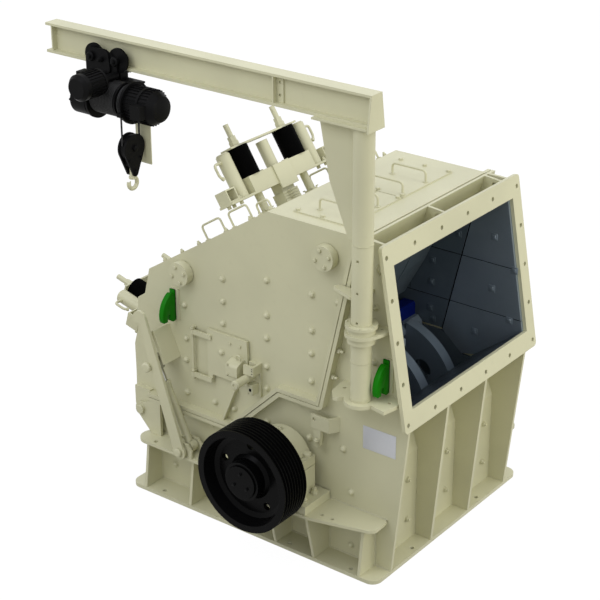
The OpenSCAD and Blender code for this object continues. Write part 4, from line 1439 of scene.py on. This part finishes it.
@dataclass
class WeldSeams:
    """Fillet welds along the main joints."""

    line: float = SIDE_FACE - 2
    size: float = 5.0
    fine: float = 4.0
    levels: tuple[Point, ...] = ((-870, 980, 387), (-870, 980, 363), (-890, 1006, 26))
    ribs: Row = (-890, -870, -497, -477, -110, -90, 220, 240, 522, 542, 870, 890)
    rib_ends: Spot = (28, 362)
    front_lug: Row = (932, 976)
    rear_lug: Row = (-733, -665)
    lug_ends: Spot = (1276, 1482)

    def build(self) -> None:
        """Runs a seam along each joint."""
        fixed = Piece("frame_welds", Body.FRAME, Finish.WELD)
        for start, end, z in self.levels:
            fixed.tube([(start, self.line, z), (end, self.line, z)], self.size, sides=6)
        for rows, ends in ((self.ribs, self.rib_ends), (self.front_lug, self.lug_ends)):
            for x in rows:
                fixed.tube([(x, self.line, z) for z in ends], self.size, sides=6)
        fixed.both_sides().finish_off()
        rear = Piece("rear_welds", Body.REAR, Finish.WELD)
        for x in self.rear_lug:
            rear.tube([(x, self.line, z) for z in self.lug_ends], self.fine, sides=6)
        rear.both_sides().finish_off()


@dataclass(frozen=True)
class Lamp:
    """A broad square lamp that faces the machine."""

    name: str
    at: Point
    power: float
    size: float
    tint: Colour
    aim: Point = (0.0, -0.4, 1.5)

    def build(self) -> None:
        """Hangs the lamp."""
        data = bpy.data.lights.new(self.name, "AREA")
        data.energy = self.power
        data.color = self.tint
        data.size = self.size
        lamp = bpy.data.objects.new(self.name, data)
        bpy.context.scene.collection.objects.link(lamp)
        towards = Vector(self.at) - Vector(self.aim)
        turn = towards.to_track_quat("Z", "Y").to_matrix().to_4x4()
        lamp.matrix_world = Matrix.Translation(self.at) @ turn


@dataclass
class Studio:
    """The camera, the lamps, the sky and the floor."""

    camera_at: Point = (5.819, -7.884, 5.88)
    azimuth: float = -52.58
    elevation: float = 24.83
    roll: float = -0.16
    lens: float = 99.7
    sensor: float = 36.0
    view_end: float = 200.0
    ambient: float = 0.95
    lamps: tuple[Lamp, ...] = (
        Lamp("key_lamp", (-1.2, -4.6, 6.4), 108.0, 3.5, COOL),
        Lamp("fill_lamp", (6.4, 0.6, 3.2), 110.0, 3.0, WARM),
        Lamp("top_lamp", (2.4, 1.2, 7.6), 70.0, 3.5, COOL),
    )
    floor: float = 60.0
    paper: Colour = (0.9, 0.9, 0.9)
    bounce: Colour = (0.3, 0.285, 0.2)
    glow: float = 1.03
    glow_share: float = 0.95

    def build(self) -> None:
        """Sets up the whole studio."""
        self._camera()
        self._sky()
        for lamp in self.lamps:
            lamp.build()
        self._floor()
        bpy.context.scene.view_settings.view_transform = "Standard"

    def _camera(self) -> None:
        """Places the camera."""
        data = bpy.data.cameras.new("camera")
        data.lens = self.lens
        data.sensor_width = self.sensor
        data.clip_end = self.view_end
        camera = bpy.data.objects.new("camera", data)
        bpy.context.scene.collection.objects.link(camera)
        turn = Matrix.Rotation(math.radians(90.0 + self.azimuth), 4, "Z")
        tilt = Matrix.Rotation(math.radians(90.0 - self.elevation), 4, "X")
        spin = Matrix.Rotation(math.radians(self.roll), 4, "Z")
        camera.matrix_world = Matrix.Translation(self.camera_at) @ turn @ tilt @ spin
        bpy.context.scene.camera = camera

    def _sky(self) -> None:
        """Lights the object with an even sky that shows as pure white."""
        world = bpy.data.worlds.new("sky")
        bpy.context.scene.world = world
        recipe = Recipe(world)
        rays = recipe.node("ShaderNodeLightPath")
        seen = rays.output("Is Camera Ray").either(rays.output("Is Glossy Ray"))
        seen = seen.either(rays.output("Is Transmission Ray"))
        sky = recipe.node("ShaderNodeBackground", {"Color": COOL, "Strength": self.ambient})
        white = recipe.node("ShaderNodeBackground", {"Color": WHITE})
        mixed = recipe.node("ShaderNodeMixShader", {0: seen, 1: sky, 2: white})
        recipe.end(mixed, "ShaderNodeOutputWorld")

    def _floor(self) -> None:
        """Lays a white floor that still takes the object's shadow."""
        mesh = bmesh.new()
        bmesh.ops.create_grid(mesh, x_segments=1, y_segments=1, size=self.floor)
        data = bpy.data.meshes.new("floor")
        mesh.to_mesh(data)
        mesh.free()
        floor = bpy.data.objects.new("floor", data)
        bpy.context.scene.collection.objects.link(floor)
        recipe = Recipe(bpy.data.materials.new("floor_white"))
        rays = recipe.node("ShaderNodeLightPath")
        direct = rays.output("Is Camera Ray")
        shade = recipe.mix(direct, self.bounce, self.paper)
        paper = recipe.node("ShaderNodeBsdfDiffuse", {"Color": shade})
        white = recipe.node("ShaderNodeEmission", {"Color": WHITE, "Strength": self.glow})
        seen = direct.either(rays.output("Is Glossy Ray")) * self.glow_share
        recipe.end(recipe.node("ShaderNodeMixShader", {0: seen, 1: paper, 2: white}))
        data.materials.append(recipe.owner)


NODE_FINISHES = {
    Finish.CREAM: (
        "base_flange frame_side_near frame_side_far feed_end_wall rear_end_wall frame_ribs"
        " bearing_shelves lift_shelves split_flanges_fixed hinge_ears feed_hood feed_flange"
        " chute_floor bearing_near bearing_far jib_bracket_lower jib_bracket_upper frame_clamps"
        " rear_side_near rear_side_far rear_roof rear_wall split_flanges_rear pivot_caps"
        " roof_adjuster wall_adjuster roof_adjuster_cylinders wall_adjuster_cylinders"
        " lift_brackets inspection_door_near inspection_door_far jib_column jib_beam crane_hook"
        " lift_arms lift_cylinders"
    ),
    Finish.LINER: "rear_liners front_curtain rear_curtain",
    # The fixed frame's liners take the liner steel painted lighter, as painted light.
    Finish.LINER_PAINTED_LIT: "feed_liners",
    # The chute liner takes the liner steel painted darker, as painted shade.
    Finish.CHUTE: "chute_liner",
    Finish.ROTOR: "rotor_discs rotor_shaft",
    Finish.BLUE: "blow_bars",
    Finish.PULLEY: "drive_pulley",
    Finish.SPRING: "roof_adjuster_springs wall_adjuster_springs",
    Finish.BLACK: "hoist_trolley hoist_drum hook_block",
    Finish.CHROME: "lift_rods",
}


def dress(nodes: Mapping[str, bpy.types.Object]) -> None:
    """Gives the frame's own nodes their finishes.

    Args:
        nodes: the nodes by name.
    """
    for finish, names in NODE_FINISHES.items():
        for name in names.split():
            for slot in nodes[name].material_slots:
                slot.material = finish.material()
            LOG.info("%s is in %s", name, finish.name.lower())


def main() -> None:
    """Builds the machine's looks in order."""
    logging.basicConfig(level=logging.INFO, format="%(message)s")
    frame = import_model()
    Studio().build()
    dress(frame["nodes"])
    sub_assemblies = (
        SidePlates(),
        LiftingLugs(),
        LowerFrame(),
        FeedBox(),
        RotorFittings(),
        RoofFittings(),
        Adjuster("roof_adjuster", (-295.3, 0.0, 1965.9), 32.78),
        Adjuster("wall_adjuster", (-1045.3, 0.0, 993.4), 74.11),
        Doors(),
        JibFittings(),
        Hoist(),
        LiftGear(),
        SplitSeal(),
        WeldSeams(),
    )
    for sub_assembly in sub_assemblies:
        sub_assembly.build()


if __name__ == "__main__":
    main()
